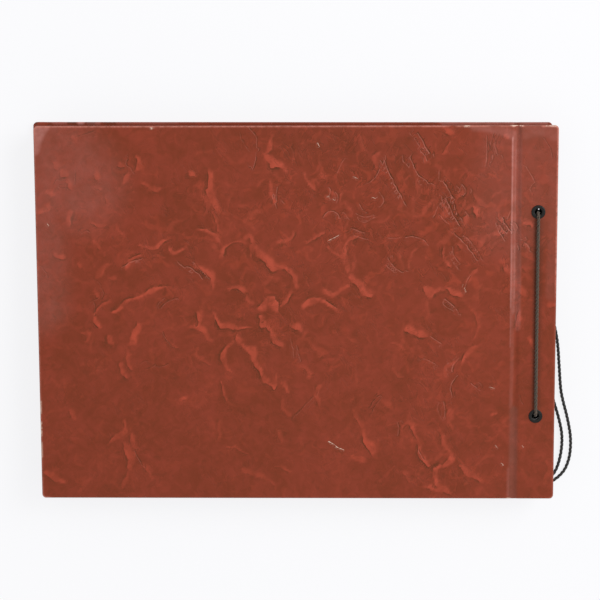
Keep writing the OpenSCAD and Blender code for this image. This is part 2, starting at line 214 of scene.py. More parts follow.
# The largest folds in the crushed paper of the back cover, in millimetres from the middle of
# the cover: start, middle and end of an arc, its width and how strongly it shows. The sharp
# side of a fold with a positive width is on its right, seen along the arc.
BACK_FOLDS = [
    (-119, 117, -114, 113, -117, 106, 6, 0.8), (-120, 106, -123, 103, -127, 96, 5, 0.9),
    (-151, 70, -145, 67, -138, 67, 3, 0.8), (-131, 66, -127, 62, -125, 58, 3, 0.6),
    (-116, 53, -104, 51, -93, 57, 4, 0.9), (-94, 50, -88, 47, -80, 48, 4, 0.9),
    (-126, 33, -121, 40, -111, 45, -4, 1.0), (-111, 39, -104, 44, -94, 42, -2, 0.4),
    (-136, 1, -124, 10, -90, 23, -4, 1.0), (-149, -1, -144, 6, -136, 10, -4, 0.8),
    (-74, 63, -62, 60, -54, 51, -5, 1.0), (-74, 98, -65, 88, -66, 73, 7, 0.7),
    (-78, 36, -65, 33, -61, 17, 6, 1.0), (-149, 28, -143, 33, -136, 40, 4, 0.6),
    (-149, 55, -146, 53, -144, 49, 5, 0.7), (-177, 46, -173, 43, -169, 43, 6, 0.7),
    (-190, 73, -184, 79, -178, 82, 7, 0.6), (-167, 64, -166, 72, -163, 79, 4, 0.7),
    (-112, 98, -104, 94, -97, 93, 4, 0.6), (-79, 106, -76, 104, -74, 102, 4, 0.9),
    (-146, 20, -146, 16, -145, 12, 4, 0.6), (-138, 29, -134, 27, -130, 25, 4, 0.5),
    (-25, 121, -16, 112, -5, 105, 7, 1.0), (-22, 119, -19, 126, -17, 133, 5, 0.8),
    (-19, 100, -18, 92, -15, 82, 4, 0.9), (6, 106, 9, 98, 15, 93, 4, 0.8),
    (-62, 109, -61, 92, -56, 74, 6, 0.85), (-66, 106, -62, 84, -56, 57, 2.4, 0.8),
    (-55, 40, -50, 52, -34, 54, 3, 0.8), (-40, 53, -35, 59, -31, 52, 4, 0.8),
    (-33, 55, -32, 49, -31, 42, 4, 0.5), (-31, 53, -20, 39, -5, 33, 7, 1.0),
    (-8, 34, -3, 30, 2, 19, 5, 0.8), (-15, 53, -6, 56, -1, 63, 4, 0.7), (5, 52, 14, 57, 22, 63, 3, 0.7),
    (22, 51, 29, 46, 36, 40, 3, 0.7), (34, 40, 37, 52, 46, 59, 4, 0.8), (35, 44, 37, 38, 39, 30, 4, 0.7),
    (39, 31, 46, 22, 57, 14, 8, 1.0), (17, 20, 28, 17, 41, 24, -5, 0.8), (5, 3, 16, 11, 32, -1, -5, 1.0),
    (-14, 5, -7, 13, -1, 19, 5, 0.9), (-50, 19, -44, 21, -37, 17, 6, 0.9),
    (-27, 1, -20, 10, -13, 0, -8, 0.9), (-25, 0, -26, -5, -22, -11, 6, 0.8),
    (61, 121, 58, 114, 59, 107, 5, 0.7), (17, 104, 20, 103, 24, 101, 5, 0.6),
    (34, 91, 34, 88, 33, 85, 3, 0.8), (-36, 17, -35, 12, -31, 6, 5, 0.6),
    (108, 139, 111, 135, 115, 134, 6, 0.8), (112, 130, 110, 122, 106, 117, 4, 0.6),
    (94, 120, 94, 117, 92, 112, 4, 0.6), (104, 71, 108, 75, 112, 80, 6, 0.9),
    (107, 84, 109, 80, 113, 79, 4, 0.6), (116, 86, 119, 88, 122, 92, 4, 0.7),
    (127, 80, 131, 77, 133, 72, 7, 1.0), (126, 74, 124, 70, 122, 66, 6, 0.9),
    (131, 92, 134, 84, 142, 80, 6, 0.6), (147, 77, 148, 72, 151, 68, 4, 0.8),
    (143, 60, 147, 62, 151, 63, 6, 0.8), (131, 50, 137, 57, 142, 59, 4, 0.4),
    (108, 52, 109, 42, 114, 35, 4, 0.9), (118, 54, 120, 52, 122, 49, 4, 0.8),
    (92, 21, 100, 16, 108, 21, 6, 0.8), (108, 22, 114, 17, 123, 13, 7, 0.9),
    (125, 22, 128, 31, 134, 35, -4, 0.6), (152, 38, 154, 34, 156, 29, 5, 0.7),
    (150, 132, 152, 131, 154, 129, 5, 0.7), (165, 67, 168, 68, 172, 65, 5, 0.8),
    (165, 51, 168, 52, 170, 48, 5, 0.8), (165, 37, 168, 35, 168, 30, 5, 0.5),
    (160, 20, 165, 18, 168, 12, 6, 0.7), (182, 6, 186, 8, 190, 7, 6, 0.6),
    (-117, -5, -119, -16, -125, -24, 6, 1.0), (-148, 0, -148, -5, -145, -10, 5, 0.9),
    (-139, -16, -138, -20, -134, -24, 4, 0.7), (-159, -13, -153, -15, -157, -21, 3, 0.7),
    (-130, -33, -130, -42, -124, -47, 5, 0.7), (-123, -28, -124, -36, -119, -41, 4, 0.5),
    (-80, -11, -69, -11, -62, -21, 7, 1.0), (-73, 4, -71, -3, -71, -11, 5, 0.9),
    (-71, -22, -71, -32, -61, -39, 3, 0.5), (-97, -12, -94, -21, -86, -25, 2, 0.7),
    (-86, -65, -83, -63, -80, -63, 5, 1.0), (-168, -71, -166, -75, -166, -80, 6, 0.5),
    (-128, -79, -130, -90, -143, -98, 5, 0.6), (-123, -88, -122, -95, -119, -104, 5, 0.5),
    (-129, -96, -124, -108, -126, -120, 6, 0.7), (-188, -117, -182, -123, -170, -128, 8, 0.7),
    (-115, -113, -110, -118, -107, -126, 4, 0.4), (-127, -119, -129, -126, -130, -132, 4, 0.4),
    (-60, 2, -52, -9, -31, -8, 5, 1.0), (-42, -10, -43, -17, -40, -23, 6, 0.8),
    (-43, -19, -54, -30, -47, -45, 5, 0.8), (-41, -20, -32, -30, -26, -45, 6, 1.0),
    (-28, -41, -23, -50, -14, -57, 5, 0.9), (-18, -58, -16, -52, -14, -44, 4, 0.7),
    (-24, -4, -19, -14, -8, -24, 5, 0.9), (-5, -5, -1, -8, 5, -12, 5, 0.9),
    (-10, -49, -8, -53, -8, -60, 5, 0.9), (3, -37, 8, -41, 9, -49, 5, 0.6),
    (12, -32, 16, -30, 20, -30, 6, 0.5), (18, -51, 16, -60, 17, -71, 4, 0.6),
    (-56, -50, -54, -58, -51, -67, 3, 0.6), (-57, -78, -57, -88, -59, -97, 5, 0.4),
    (-53, -101, -46, -101, -36, -105, 2, 0.6), (-15, -86, -13, -91, -11, -97, 4, 0.4),
    (-10, -62, -9, -70, -4, -77, 5, 0.4), (42, -70, 45, -78, 49, -88, 5, 0.5),
    (48, -86, 53, -96, 59, -109, 6, 0.9), (40, -106, 45, -109, 51, -111, 5, 0.6),
    (-44, -118, -30, -121, -14, -131, 6, 0.4), (-17, -115, -10, -117, -4, -120, 3, 0.4),
    (62, -64, 66, -66, 71, -71, 5, 0.5), (78, -11, 88, -13, 97, -19, 8, 1.0),
    (69, -21, 75, -23, 81, -27, 3, 0.5), (97, -14, 102, -20, 108, -22, 3, 0.4),
    (89, -30, 96, -34, 105, -38, 3, 0.4), (71, -39, 75, -44, 80, -48, 4, 0.4),
    (125, 8, 134, -8, 130, -20, 4, 0.5), (132, -22, 127, -29, 120, -40, 5, 0.9),
    (119, -35, 111, -39, 112, -50, 5, 0.7), (112, -68, 113, -78, 116, -88, 5, 0.5),
    (142, -77, 145, -75, 148, -76, 4, 0.7), (77, -88, 84, -82, 90, -97, 5, 0.9),
    (89, -97, 94, -108, 103, -118, 5, 0.9), (108, -90, 109, -96, 113, -104, 4, 0.7),
    (113, -101, 114, -109, 106, -115, 5, 0.9), (107, -113, 102, -120, 107, -131, 5, 0.9),
    (92, -131, 104, -130, 116, -140, 6, 0.7), (120, -113, 127, -120, 139, -127, 7, 0.7),
    (78, -117, 83, -122, 86, -128, 5, 0.4), (164, 3, 162, -3, 164, -10, 6, 0.9),
    (172, -15, 172, -20, 175, -27, 5, 0.8), (185, -108, 187, -118, 183, -130, 6, 0.3),
    (-139, 88, -137, 84, -138, 80, 4, 0.5), (-160, 41, -159, 38, -157, 35, 5, 0.5),
    (-163, 134, -161.5, 130, -162, 125, 5, 0.55), (-177, 114, -175, 111, -172, 108, 6, 0.5),
    (-172, 107, -168.5, 104, -166, 100, 6, 0.6), (-181, 93, -178.8, 90, -176, 85, 6, 0.65),
    (-129, 112, -126.5, 110.5, -123.5, 110, 5, 0.9), (-147, 106, -144.5, 103.5, -142, 101, 5, 0.65),
    (-167, 99, -165, 97, -162, 93, 4, 0.5), (-147, 95, -143.5, 93.5, -140, 94, 5, 0.4)]

# The sharp fine creases of the back cover, most of them near its upper right corner, in
# millimetres: start, middle, end and strength. A negative one is a pale scratch or fleck.
BACK_HAIRLINES = [
    (65, 115, 70, 102, 79, 84, 1.0), (68, 112, 72, 100, 76, 90, 0.7), (83, 117, 87, 107, 98, 97, 1.0),
    (86, 112, 89, 105, 95, 96, 0.9), (85, 106, 88, 102, 90, 97, 0.6), (88, 135, 94, 127, 98, 117, 0.9),
    (92, 133, 97, 126, 101, 116, 0.6), (90, 124, 94, 118, 96, 113, 0.7), (107, 101, 112, 91, 117, 83, 0.9),
    (109, 88, 114, 76, 121, 65, 1.0), (112, 90, 116, 80, 120, 72, 0.9), (108, 82, 111, 75, 116, 68, 0.7),
    (104, 83, 102, 77, 99, 72, 0.6), (106, 86, 105, 79, 103, 74, 0.5), (150, 73, 154, 66, 158, 60, 1.0),
    (148, 68, 152, 63, 155, 60, 0.8), (154, 74, 156, 69, 158, 66, 0.6), (114, 62, 124, 52, 135, 40, 0.8),
    (67, 44, 72, 36, 80, 31, 0.6), (66, 38, 70, 34, 75, 31, 0.5), (138, 133, 139, 121, 138, 108, 0.7),
    (144, 136, 142, 128, 141, 118, 0.6), (148, 134, 145, 126, 146, 117, 0.5), (78, 57, 86, 58, 96, 55, 0.7),
    (66, 58, 72, 57, 77, 58, 0.4), (120, 98, 124, 92, 121, 87, 0.8), (38, 65, 45, 63, 52, 62, 0.6),
    (41, 60, 47, 58, 54, 57, 0.5), (43, 76, 50, 72, 58, 75, 0.5), (46, 84, 49, 79, 54, 74, 0.5),
    (60, 92, 63, 84, 59, 79, 0.5), (52, 98, 58, 103, 61, 110, 0.6), (28, 104, 33, 112, 37, 117, 0.4),
    (24, 96, 26, 91, 24, 86, 0.6), (-34, 140, -30, 132, -28, 122, 0.7), (-28, 122, -29, 114, -31, 107, 0.8),
    (20, 71, 26, 77, 33, 71, 0.7), (-13, 97, -14, 90, -12, 83, 0.8), (114, 52, 116, 44, 120, 36, 0.5),
    (112, 48, 115, 40, 118, 33, 0.4), (108, 13, 114, 9, 121, 0, 0.7), (128, 31, 125, 25, 124, 19, 0.6),
    (-82, 37, -74, 33, -68, 26, 0.8), (-100, 4, -94, 10, -86, 12, 0.6),
    (-121, 117, -123, 113, -119, 108, 0.8), (-160, 131, -152, 134, -146, 137, 0.5),
    (-127, 35, -121, 41, -112, 44, 0.7), (-145, 22, -142, 17, -144, 10, 0.6),
    (-150, 9, -148, 4, -149, -2, 0.5), (-176, 100.4, -172, 100, -167, 100.6, 0.7),
    (-161, 108, -160, 103, -161, 96, 0.5), (-152, 8, -146, 12, -140, 20, 0.4),
    (-186, 35, -183, 32, -182, 27, 0.5), (-158, 60, -153, 63, -150, 61, 0.6),
    (-121, -102, -118, -108, -115, -115, 0.7), (-99, -12, -95, -20, -88, -25, 0.5),
    (121, -32, 116, -38, 115, -44, 0.7), (117, -48, 114, -55, 115, -62, 0.8),
    (119, -47, 117, -54, 117, -62, 0.5), (75, -81, 76, -86, 75, -92, 0.7),
    (90, -102, 92, -106, 95, -110, 0.6), (-4, -79, 3, -72, 13, -60, 0.6),
    (107, -65, 109, -72, 109, -80, 0.5), (54, -70, 58, -64, 63, -60, 0.7),
    (98, -15, 103, -20, 108, -22, 0.5), (-106, -38, -100, -39, -94, -37, 0.5),
    (-112, -41, -107, -39, -104, -36, 0.5), (0, -22, 2, -30, 3, -36, 0.5),
    (128, -51, 132, -54, 136, -57, 0.5), (92, -32, 98, -35, 105, -38, 0.5),
    (168, 110, 170, 105, 174, 98, 0.5), (166, 54, 170, 50, 171, 47, 0.7), (162, 52, 163, 50, 163, 47, 0.8),
    (182, 127, 185, 121, 186, 114, 0.6), (180, 131, 182, 127, 184, 123, 0.4),
    (175, 100, 171, 95, 173, 90, 0.4), (165, -60, 166, -64, 168, -68, 0.4),
    (24, -95.6, 28, -98.4, 34, -102, -1.0), (24.5, 54.4, 27.6, 57, 30.4, 59.6, -0.8),
    (143.4, -55.2, 144.2, -55.4, 145, -55.4, -0.8), (152.8, -112.8, 153, -113, 153.2, -113.4, -0.8),
    (167.8, -99, 168, -99.2, 168.2, -99.4, -0.6), (148, -99.4, 148.6, -100, 149, -100.6, -0.5),
    (15.8, 126.4, 16.4, 125.4, 17, 124.4, -0.7), (42.6, 102, 43.2, 101.6, 43.8, 101.2, -0.6),
    (56.4, 87.4, 57, 87, 57.6, 86.8, -0.7), (23, 87.4, 23.6, 87, 24.2, 86.4, -0.6),
    (27, 85.4, 27.4, 85, 28, 84.8, -0.5), (-182, 67.4, -181.6, 66.8, -181.2, 66.4, -0.7),
    (66, 113, 67.4, 110.4, 68, 108.6, -0.5), (122, 21, 123.6, 19.6, 124.6, 18, -0.6)]

# The folds of the front cover that show past the back cover's head edge.
FRONT_FOLDS = [
    (-187, 139.5, -183, 140, -179, 139.5, 9, 1.0), (-176, 139.5, -172, 140, -169, 139.5, 6, 0.5)]

# Wear and painted light of the covers, as strokes in millimetres: start, middle, end, reach and strength.
# Rubs are worn paper on the rounded edge, partly a painted highlight along the arris; hazes are dust and fine
# wear on the flat together with painted sheen, such as the painted highlights on the lit wall of the groove;
# chips bare the paper; the paper is crushed most where it is busy; and grime strokes are painted shade beside
# the cord, round the eyelets and in the foot of the groove, together with some dirt.
BACK_WEAR_AND_LIGHT = {
    # Worn rounded edges, partly a painted highlight along the arris.
    "rubbed": [(-190, 139.5, -40, 139.5, 110, 139.5, 2.2, 0.72),
               (118, 139.5, 128, 139.5, 139, 139.5, 2.2, 0.6),
               (148, 139.5, 151, 139.5, 154, 139.5, 2.2, 0.4), (180, 139.5, 185, 139.5, 190, 138, 3, 0.9),
               (190.5, 137, 190.5, 76, 190.5, 15, 2.8, 0.85),
               (190.5, 15, 190.5, -60, 190.5, -137, 2.2, 0.16),
               (-190.5, 138, -190.5, 0, -190.5, -138, 2.4, 0.6),
               (-190, -139.5, 0, -139.5, 189, -139.5, 2.2, 0.14),
               (158, 139.5, 160.5, 139.5, 163, 139.5, 4, 1.0), (-190, 139, -190.5, 138, -190, 135, 6, 1.0),
               (190, -139, 190, -139, 189, -139.5, 5, 0.6), (-190, -138, -190, -139, -188, -139.5, 6, 0.8)],
    "chipped": [(-104.8, 138.2, -104.4, 138, -104, 137.6, 1.1, 0.9),
                (123, 139.5, 124, 139.6, 125, 139.5, 1.6, 0.8),
                (-190.4, -66, -190.4, -70, -190.4, -74, 1.5, 0.6),
                (-190.4, -82, -190.5, -87, -190.4, -91, 1.5, 0.75),
                (-190.4, -97, -190.4, -102, -190.4, -108, 1.4, 0.55),
                (182, 139.6, 185, 139.6, 188, 139.4, 1.4, 0.6),
                (157.5, 140.4, 160.5, 140.4, 163.5, 140.4, 2.2, 1.0),
                (156.6, -139.5, 157.2, -139.7, 157.8, -139.5, 1.3, 0.7)],
    # Dust and fine wear together with painted sheen; the strokes near x = 157 to 160 are painted highlights
    # on the lit wall of the groove.
    "haze": [(-190, 122, -187.5, 131, -182.5, 139, 6.5, 0.42),
             (-189.5, 136.5, -189, 137, -188, 138, 9, 0.50), (158.8, 134, 158.8, 70, 158.8, 2, 2.4, 0.22),
             (157.2, 131, 157.3, 95, 157.2, 60, 0.8, 0.66), (157.2, 59, 157.3, 32, 157.2, 6, 0.8, 0.46),
             (157.2, 5, 157.3, -10, 157.2, -24, 0.8, 0.20), (159.7, 122, 159.6, 80, 159.8, 12, 0.9, 0.30),
             (160.2, -72, 160.2, -105, 160.2, -139, 4.4, 0.12),
             (157.0, -116, 157.0, -126, 157.0, -137, 1.3, 0.16),
             (162.4, 134, 162.4, 60, 162.4, -10, 3.0, 0.17), (186.5, 136, 187, 76, 186.5, 15, 6, 0.07),
             (166, 135, 178, 137.5, 188, 134, 10, 0.15), (130, 139.5, 143, 137.5, 156, 133, 6, 0.20),
             (158, 2, 158.5, -30, 158, -70, 2.0, 0.08), (-190, 138, -190, 70, -190, 8, 32, 0.10),
             (-190, 130, -172, 112, -160, 95, 50, 0.11), (165, 130, 160, 100, 158, 70, 45, 0.06)],
    "busy": [(30, 90, 70, 70, 130, 60, 90, 0.65), (-90, 60, -30, 40, 10, 0, 80, 0.35),
             (90, -10, 110, -60, 110, -110, 60, 0.3)],
    # Painted shade in the foot of the groove, beside the cord and round the eyelets, and a faint darker patch
    # below the head edge.
    "grime": [(160.2, -72, 160.2, -105, 160.2, -139, 4.4, 0.44), (0, 131, 35, 129, 72, 128, 24, 0.12),
              (175.3, 74, 175.2, 0, 175.4, -72, 2.4, 0.72), (177.4, 72, 177.4, 0, 177.4, -72, 3.8, 0.40),
              (176.4, 76, 176.4, 76, 176.4, 76, 7.2, 0.35),
              (176.4, -76, 176.4, -76, 176.4, -76, 7.2, 0.35)],
}

FRONT_WEAR_AND_LIGHT = {
    "rubbed": [(-190, 139.5, 0, 139.5, 190, 139.5, 3, 0.5), (-190, -139.5, 0, -139.5, 190, -139.5, 3, 0.6),
               (-190.5, 138, -190.5, 0, -190.5, -138, 3, 0.7), (190.5, 138, 190.5, 0, 190.5, -138, 3, 0.7)],
    "chipped": [],
    # Lighter spots along the front cover's head edge, where it shows past the back cover.
    "haze": [(-175, 141.8, -170, 141.8, -166, 141.8, 2.0, 0.22),
             (-157, 141.8, -155.5, 141.8, -154, 141.8, 1.8, 0.75),
             (-150, 141.8, -146, 141.8, -142, 141.8, 2.0, 0.25),
             (-128, 141.8, -100, 141.8, -84, 141.8, 2.0, 0.12),
             (110, 141.8, 140, 141.8, 186, 141.8, 2.4, 0.26)],
    "busy": [(-150, 60, 0, -20, 150, 40, 110, 0.6)],
    # Darker spots along the front cover's head edge, where it shows past the back cover.
    "grime": [(-192, 141.8, -190, 141.8, -188.5, 141.8, 2.0, 0.7),
              (-164, 141.8, -161.5, 141.8, -159.5, 141.8, 1.8, 0.75),
              (-151, 141.8, -148, 141.8, -146, 141.8, 1.8, 0.6),
              (-138, 141.8, -134, 141.8, -131, 141.8, 1.8, 0.45)],
}


def arc(three, count):
    """Points of the parabola that starts at the first of three points, ends at the last and passes
    through the middle one halfway."""
    t = np.linspace(0, 1, count)[:, None]
    start, middle, end = np.reshape(three, (3, 2)).astype(float)
    pull = 2 * middle - (start + end) / 2
    return (1 - t) ** 2 * start + 2 * t * (1 - t) * pull + t ** 2 * end


def beside(points, places, reach):
    """For the places within reach of a polyline: their numbers, their share along it and their
    signed distance from it, positive on the left of the way along, or None where there are none."""
    low, high = points.min(0) - reach, points.max(0) + reach
    near = np.flatnonzero(((places > low) & (places < high)).all(1))
    if not len(near):
        return None
    step = np.diff(points, axis=0)
    size = np.maximum(np.hypot(step[:, 0], step[:, 1]), 1e-9)
    away = places[near][:, None] - points[None, :-1]
    t = np.clip((away * step).sum(2) / size ** 2, 0, 1)
    off = away - t[..., None] * step
    gap = np.hypot(off[..., 0], off[..., 1])
    best = gap.argmin(1)
    row = np.arange(len(near))
    side = step[best, 0] * away[row, best, 1] - step[best, 1] * away[row, best, 0]
    return near, (best + t[row, best]) / len(step), np.where(side < 0, -1.0, 1.0) * gap[row, best]


def fade(x, low, high):
    """Smooth step: 0 up to low, 1 from high on, and 3t^2 - 2t^3 between."""
    t = np.clip((x - low) / (high - low), 0, 1)
    return t * t * (3 - 2 * t)


def tapered(along, share):
    """1 along a line, fading to 0 over a share of it at each end."""
    return fade(along, 0, share) * fade(1 - along, 0, share)


def waver(places, random, count, shortest, longest, size):
    """A smooth random shift of places: a sum of sine waves of random bearing and length."""
    bearing = random.uniform(0, 2 * PI, count)
    rate = 2 * PI / random.uniform(shortest, longest, count)
    waves = places @ (np.stack([np.cos(bearing), np.sin(bearing)]) * rate)
    shifts = [np.sin(waves + random.uniform(0, 6.3, count)).sum(1) for _ in range(2)]
    return np.stack(shifts, -1) * (size * math.sqrt(2 / count))


def rub(places, strokes):
    """Wear along strokes: full up to 0.3 of a stroke's reach from its arc, none past its reach."""
    value = np.zeros(len(places))
    for *three, reach, strength in strokes:
        found = beside(arc(three, 9), places, reach * 1.2)
        if found is not None:
            near, _, off = found
            value[near] = np.maximum(value[near], strength * (1 - fade(np.abs(off), 0.3 * reach, reach)))
    return value


class Crush:
    """The crushed grain of a cover, as values at places on the paper in millimetres.

    A fold is an uneven ribbon along an arc: its half width is W/2 times sin(pi t) to the power
    0.35 times a wave about 0.70. It is brightest beside its sharp side and fades towards the
    other. A crease line is told by its signed distance, so that the finish can draw it finer than
    the mesh. All distances are measured on wavering places, so that nothing runs smooth.

    REACH is how far beside a line its values are told, and CLAMP is where the distance from a
    crease line is cut off. SCATTERED is how many faint folds there are, FIELD half the size of the
    field that they lie in, and CRISP the strength of their sharp side."""
    REACH = 5.0
    CLAMP = 3.0
    SCATTERED = 620
    FIELD = (190, 139)
    CRISP = 0.45

    def __init__(self, places, random):
        self.random = random
        fine = waver(places, random, 18, 4, 9, 0.20)
        self.places = places + waver(places, random, 14, 12, 26, 0.75) + fine
        self.line_places = places + waver(places, random, 14, 12, 30, 0.5) + fine * 0.6
        self.vein, self.swell, self.sharp, self.hair_share, self.pale = np.zeros((5, len(places)))
        self.edge, self.hair = np.full((2, len(places)), self.CLAMP)

    def draw(self, share, distance, near, keen, off):
        """Keeps a line where it is stronger than those before it, and returns those places."""
        wins = keen > share[near]
        share[near[wins]] = keen[wins]
        distance[near[wins]] = np.clip(off[wins], -self.CLAMP, self.CLAMP)
        return near[wins]

    def fold(self, three, width, strength, crisp=1.0):
        """One flattened fold, with its sharp side on the right where the width is positive. Crisp
        is the strength of the line along that side."""
        found = beside(arc(three, 9), self.places, abs(width) + self.REACH)
        if found is None:
            return
        near, along, off = found
        off = off * math.copysign(1, width)
        phase = self.random.uniform(0, 6.3)
        uneven = 0.70 + 0.16 * np.sin(along * self.random.uniform(5, 11) + phase)
        half = abs(width) / 2 * np.sin(PI * np.clip(along, 0.02, 0.98)) ** 0.35 * uneven
        edge = off + half
        ends = tapered(along, 0.12) * (0.84 + 0.16 * np.sin(along * 9 + 2 * phase))
        shown = strength * ends
        bright = shown * (1 - fade(edge, 1.3 * half, 2.5 * half)) * fade(edge, -0.9, 0.1)
        rise = shown * fade(edge, -0.5, 0.9) * (1 - fade(edge, half, 3.4 * half))
        self.vein[near] = np.maximum(self.vein[near], bright)
        self.swell[near] = np.maximum(self.swell[near], rise)
        keen = crisp * strength * ends * (1 - fade(np.abs(edge), 1.6, self.CLAMP))
        self.draw(self.sharp, self.edge, near, keen, edge)

    def hairline(self, three, strength):
        """One fine crease, or a pale scratch where the strength is negative. A scratch isn't
        tapered, and is told only close by, because its line would show beyond its ends."""
        found = beside(arc(three, 7), self.line_places, self.REACH)
        if found is None:
            return
        near, along, off = found
        crease = strength > 0
        ends = tapered(along, 0.1) if crease else 1.0
        full, none = (1.7, self.CLAMP) if crease else (0.8, 1.7)
        keen = abs(strength) * ends * (1 - fade(np.abs(off), full, none))
        self.pale[self.draw(self.hair_share, self.hair, near, keen, off)] = not crease

    def bundle(self, three, strength):
        """A fine crease with up to five fainter ones beside it, the more the stronger it is."""
        for _ in range(int(9 * strength - 3.5)):
            shift = self.random.normal(0, 2.6, 2)
            twist = self.random.normal(0, 1.6, (3, 2))
            self.hairline(three + shift + twist, strength * self.random.uniform(0.35, 0.8))
        self.hairline(three, strength)

    def scatter(self, quiet):
        """Faint small folds all over, in clusters that share a bearing, then dimmed by quiet."""
        count, (wide, high) = self.SCATTERED, self.FIELD
        centres = self.random.uniform((-wide, -high), (wide, high), (count // 5, 2))
        bearings = self.random.uniform(0, 2 * PI, count // 5)
        for i in range(count):
            home = i % len(centres)
            middle = centres[home] + self.random.normal(0, 11, 2)
            bearing = bearings[home] + self.random.normal(0, 0.5)
            reach = self.random.uniform(2.6, 10)
            ahead = np.array([math.cos(bearing), math.sin(bearing)]) * reach
            bow = np.array([-ahead[1], ahead[0]]) * self.random.uniform(-0.3, 0.3)
            width = self.random.uniform(0.25, 0.65) * reach * self.random.choice([-1, 1])
            three = [middle - ahead - bow, middle, middle + ahead - bow]
            self.fold(three, np.clip(width, -4.5, 4.5), self.random.uniform(0.10, 0.62), self.CRISP)
        for drawn in (self.vein, self.swell, self.sharp):
            drawn *= quiet


class Finish:
    """One procedural material, built up from a few kinds of step."""

    def __init__(self, name):
        self.material = bpy.data.materials.new(name + "_finish")
        self.material.use_nodes = True
        self.tree = self.material.node_tree
        self.surface = self.tree.nodes["Principled BSDF"]
        self.place = self.add("ShaderNodeTexCoord").outputs["Object"]

    def plug(self, socket, value):
        """Links a source to a socket, or sets the socket to a number, vector or colour."""
        if isinstance(value, bpy.types.NodeSocket):
            self.tree.links.new(value, socket)
        else:
            socket.default_value = (*value, 1.0) if socket.type == "RGBA" else value

    def add(self, kind, inputs=None, **settings):
        """A shader node with its inputs plugged and its settings made."""
        node = self.tree.nodes.new(kind)
        for name, value in settings.items():
            setattr(node, name, value)
        for name, value in (inputs or {}).items():
            self.plug(node.inputs[name], value)
        return node

    def stretched(self, scale, vector=None, turn=0, shift=(0, 0, 0)):
        """The place turned about Z, moved and scaled along each axis, so that a pattern can be
        longer one way."""
        return self.add("ShaderNodeMapping", {
            "Vector": vector or self.place, "Scale": scale, "Location": shift,
            "Rotation": (0, 0, math.radians(turn))}).outputs[0]

    def noise(self, scale, detail=3.0, rough=0.55, distortion=0.0, vector=None):
        """Noise with scale bumps to the metre."""
        return self.add("ShaderNodeTexNoise", {
            "Vector": vector or self.place, "Scale": scale, "Detail": detail, "Roughness": rough,
            "Distortion": distortion}).outputs["Fac"]

    def attribute(self, name):
        """A value that the piece's points carry."""
        return self.add("ShaderNodeAttribute", attribute_name=name).outputs["Fac"]

    def calc(self, how, a, b, clamp=False):
        """One sum, product or the like of two values."""
        return self.add("ShaderNodeMath", {0: a, 1: b}, operation=how, use_clamp=clamp).outputs[0]

    def times(self, value, *factors):
        """The product of all its values."""
        for factor in factors:
            value = self.calc("MULTIPLY", value, factor)
        return value

    def plus(self, a, b):
        """The sum of two values."""
        return self.calc("ADD", a, b)

    def minus(self, a, b):
        """The difference of two values."""
        return self.calc("SUBTRACT", a, b)

    def between(self, value, low, high, to_low=0.0, to_high=1.0, smooth=True):
        """The value's range from low to high made into that from to_low to to_high."""
        return self.add("ShaderNodeMapRange", {
            "Value": value, "From Min": low, "From Max": high, "To Min": to_low, "To Max": to_high},
            interpolation_type="SMOOTHSTEP" if smooth else "LINEAR").outputs["Result"]

    def spots(self, grain, *span, **how):
        """A noise, given by its scale and so on, with its range made into another."""
        return self.between(self.noise(*grain), *span, **how)

    def close(self, value, middle, none, full):
        """1 up to full away from a middle value, and 0 from none away on."""
        return self.between(self.calc("ABSOLUTE", self.minus(value, middle), 0.0), none, full)

    def mix(self, share, a, b, how="MIX"):
        """Colour a turned into colour b by a share."""
        return self.add("ShaderNodeMix", {0: share, 6: a, 7: b}, data_type="RGBA", blend_type=how).outputs[2]

    def coats(self, blend, *coats):
        """A colour with others laid over it in turn, each by its share."""
        for share, over in coats:
            blend = self.mix(share, blend, over)
        return blend

    def bump(self, height, depth, strength=1.0, normal=None):
        """Normals of a relief that is depth millimetres high."""
        under = {} if normal is None else {"Normal": normal}
        inputs = {"Height": height, "Distance": depth * MM, "Strength": strength, **under}
        return self.add("ShaderNodeBump", inputs).outputs["Normal"]

    def done(self, colour, roughness, specular, normal, **more):
        """Plugs the surface's own sockets, named with _ for a space, and gives the material."""
        sockets = {"Base_Color": colour, "Roughness": roughness, "Specular_IOR_Level": specular, **more}
        for name, value in sockets.items():
            self.plug(self.surface.inputs[name.replace("_", " ")], value)
        if normal is not None:
            self.plug(self.surface.inputs["Normal"], normal)
        return self.material


def tint(shade, factor):
    """A colour made brighter or darker by a factor."""
    return tuple(min(1.0, part * factor) for part in shade)


# Nets of fine creases: bumps to the metre across and along, bearing in degrees, and the share of
# a net that shows anywhere and the share added where the cover is busy.
NETS = ((58, 58, 0, 0.15, 0.5), (165, 42, -30, 0, 1), (135, 45, 38, 0, 0.9))


def crease_nets(look, busy):
    """Fine creases as painted shade and their lit flanks as painted highlight: the contour lines of stretched
    noises, kept in patches.
    """
    dark, lit = 0.0, 0.0
    for across, along, bearing, base, share in NETS:
        aligned = look.stretched((1, 1, 1), turn=bearing, shift=(bearing, across, 0))
        height = look.noise(1.0, 3, 0.55, 0.8, look.stretched((across, along, across), aligned))
        off = look.minus(height, 0.5)
        patches = look.spots((52, 2, 0.5, 0.0, aligned), 0.50, 0.62)
        kept = look.times(patches, look.plus(look.times(busy, share), base))
        dark = look.calc("MAXIMUM", look.times(look.close(off, 0.0, 0.018, 0.004), kept), dark)
        lit = look.calc("MAXIMUM", look.times(look.close(off, 0.026, 0.016, 0.004), kept), lit)
    return dark, lit


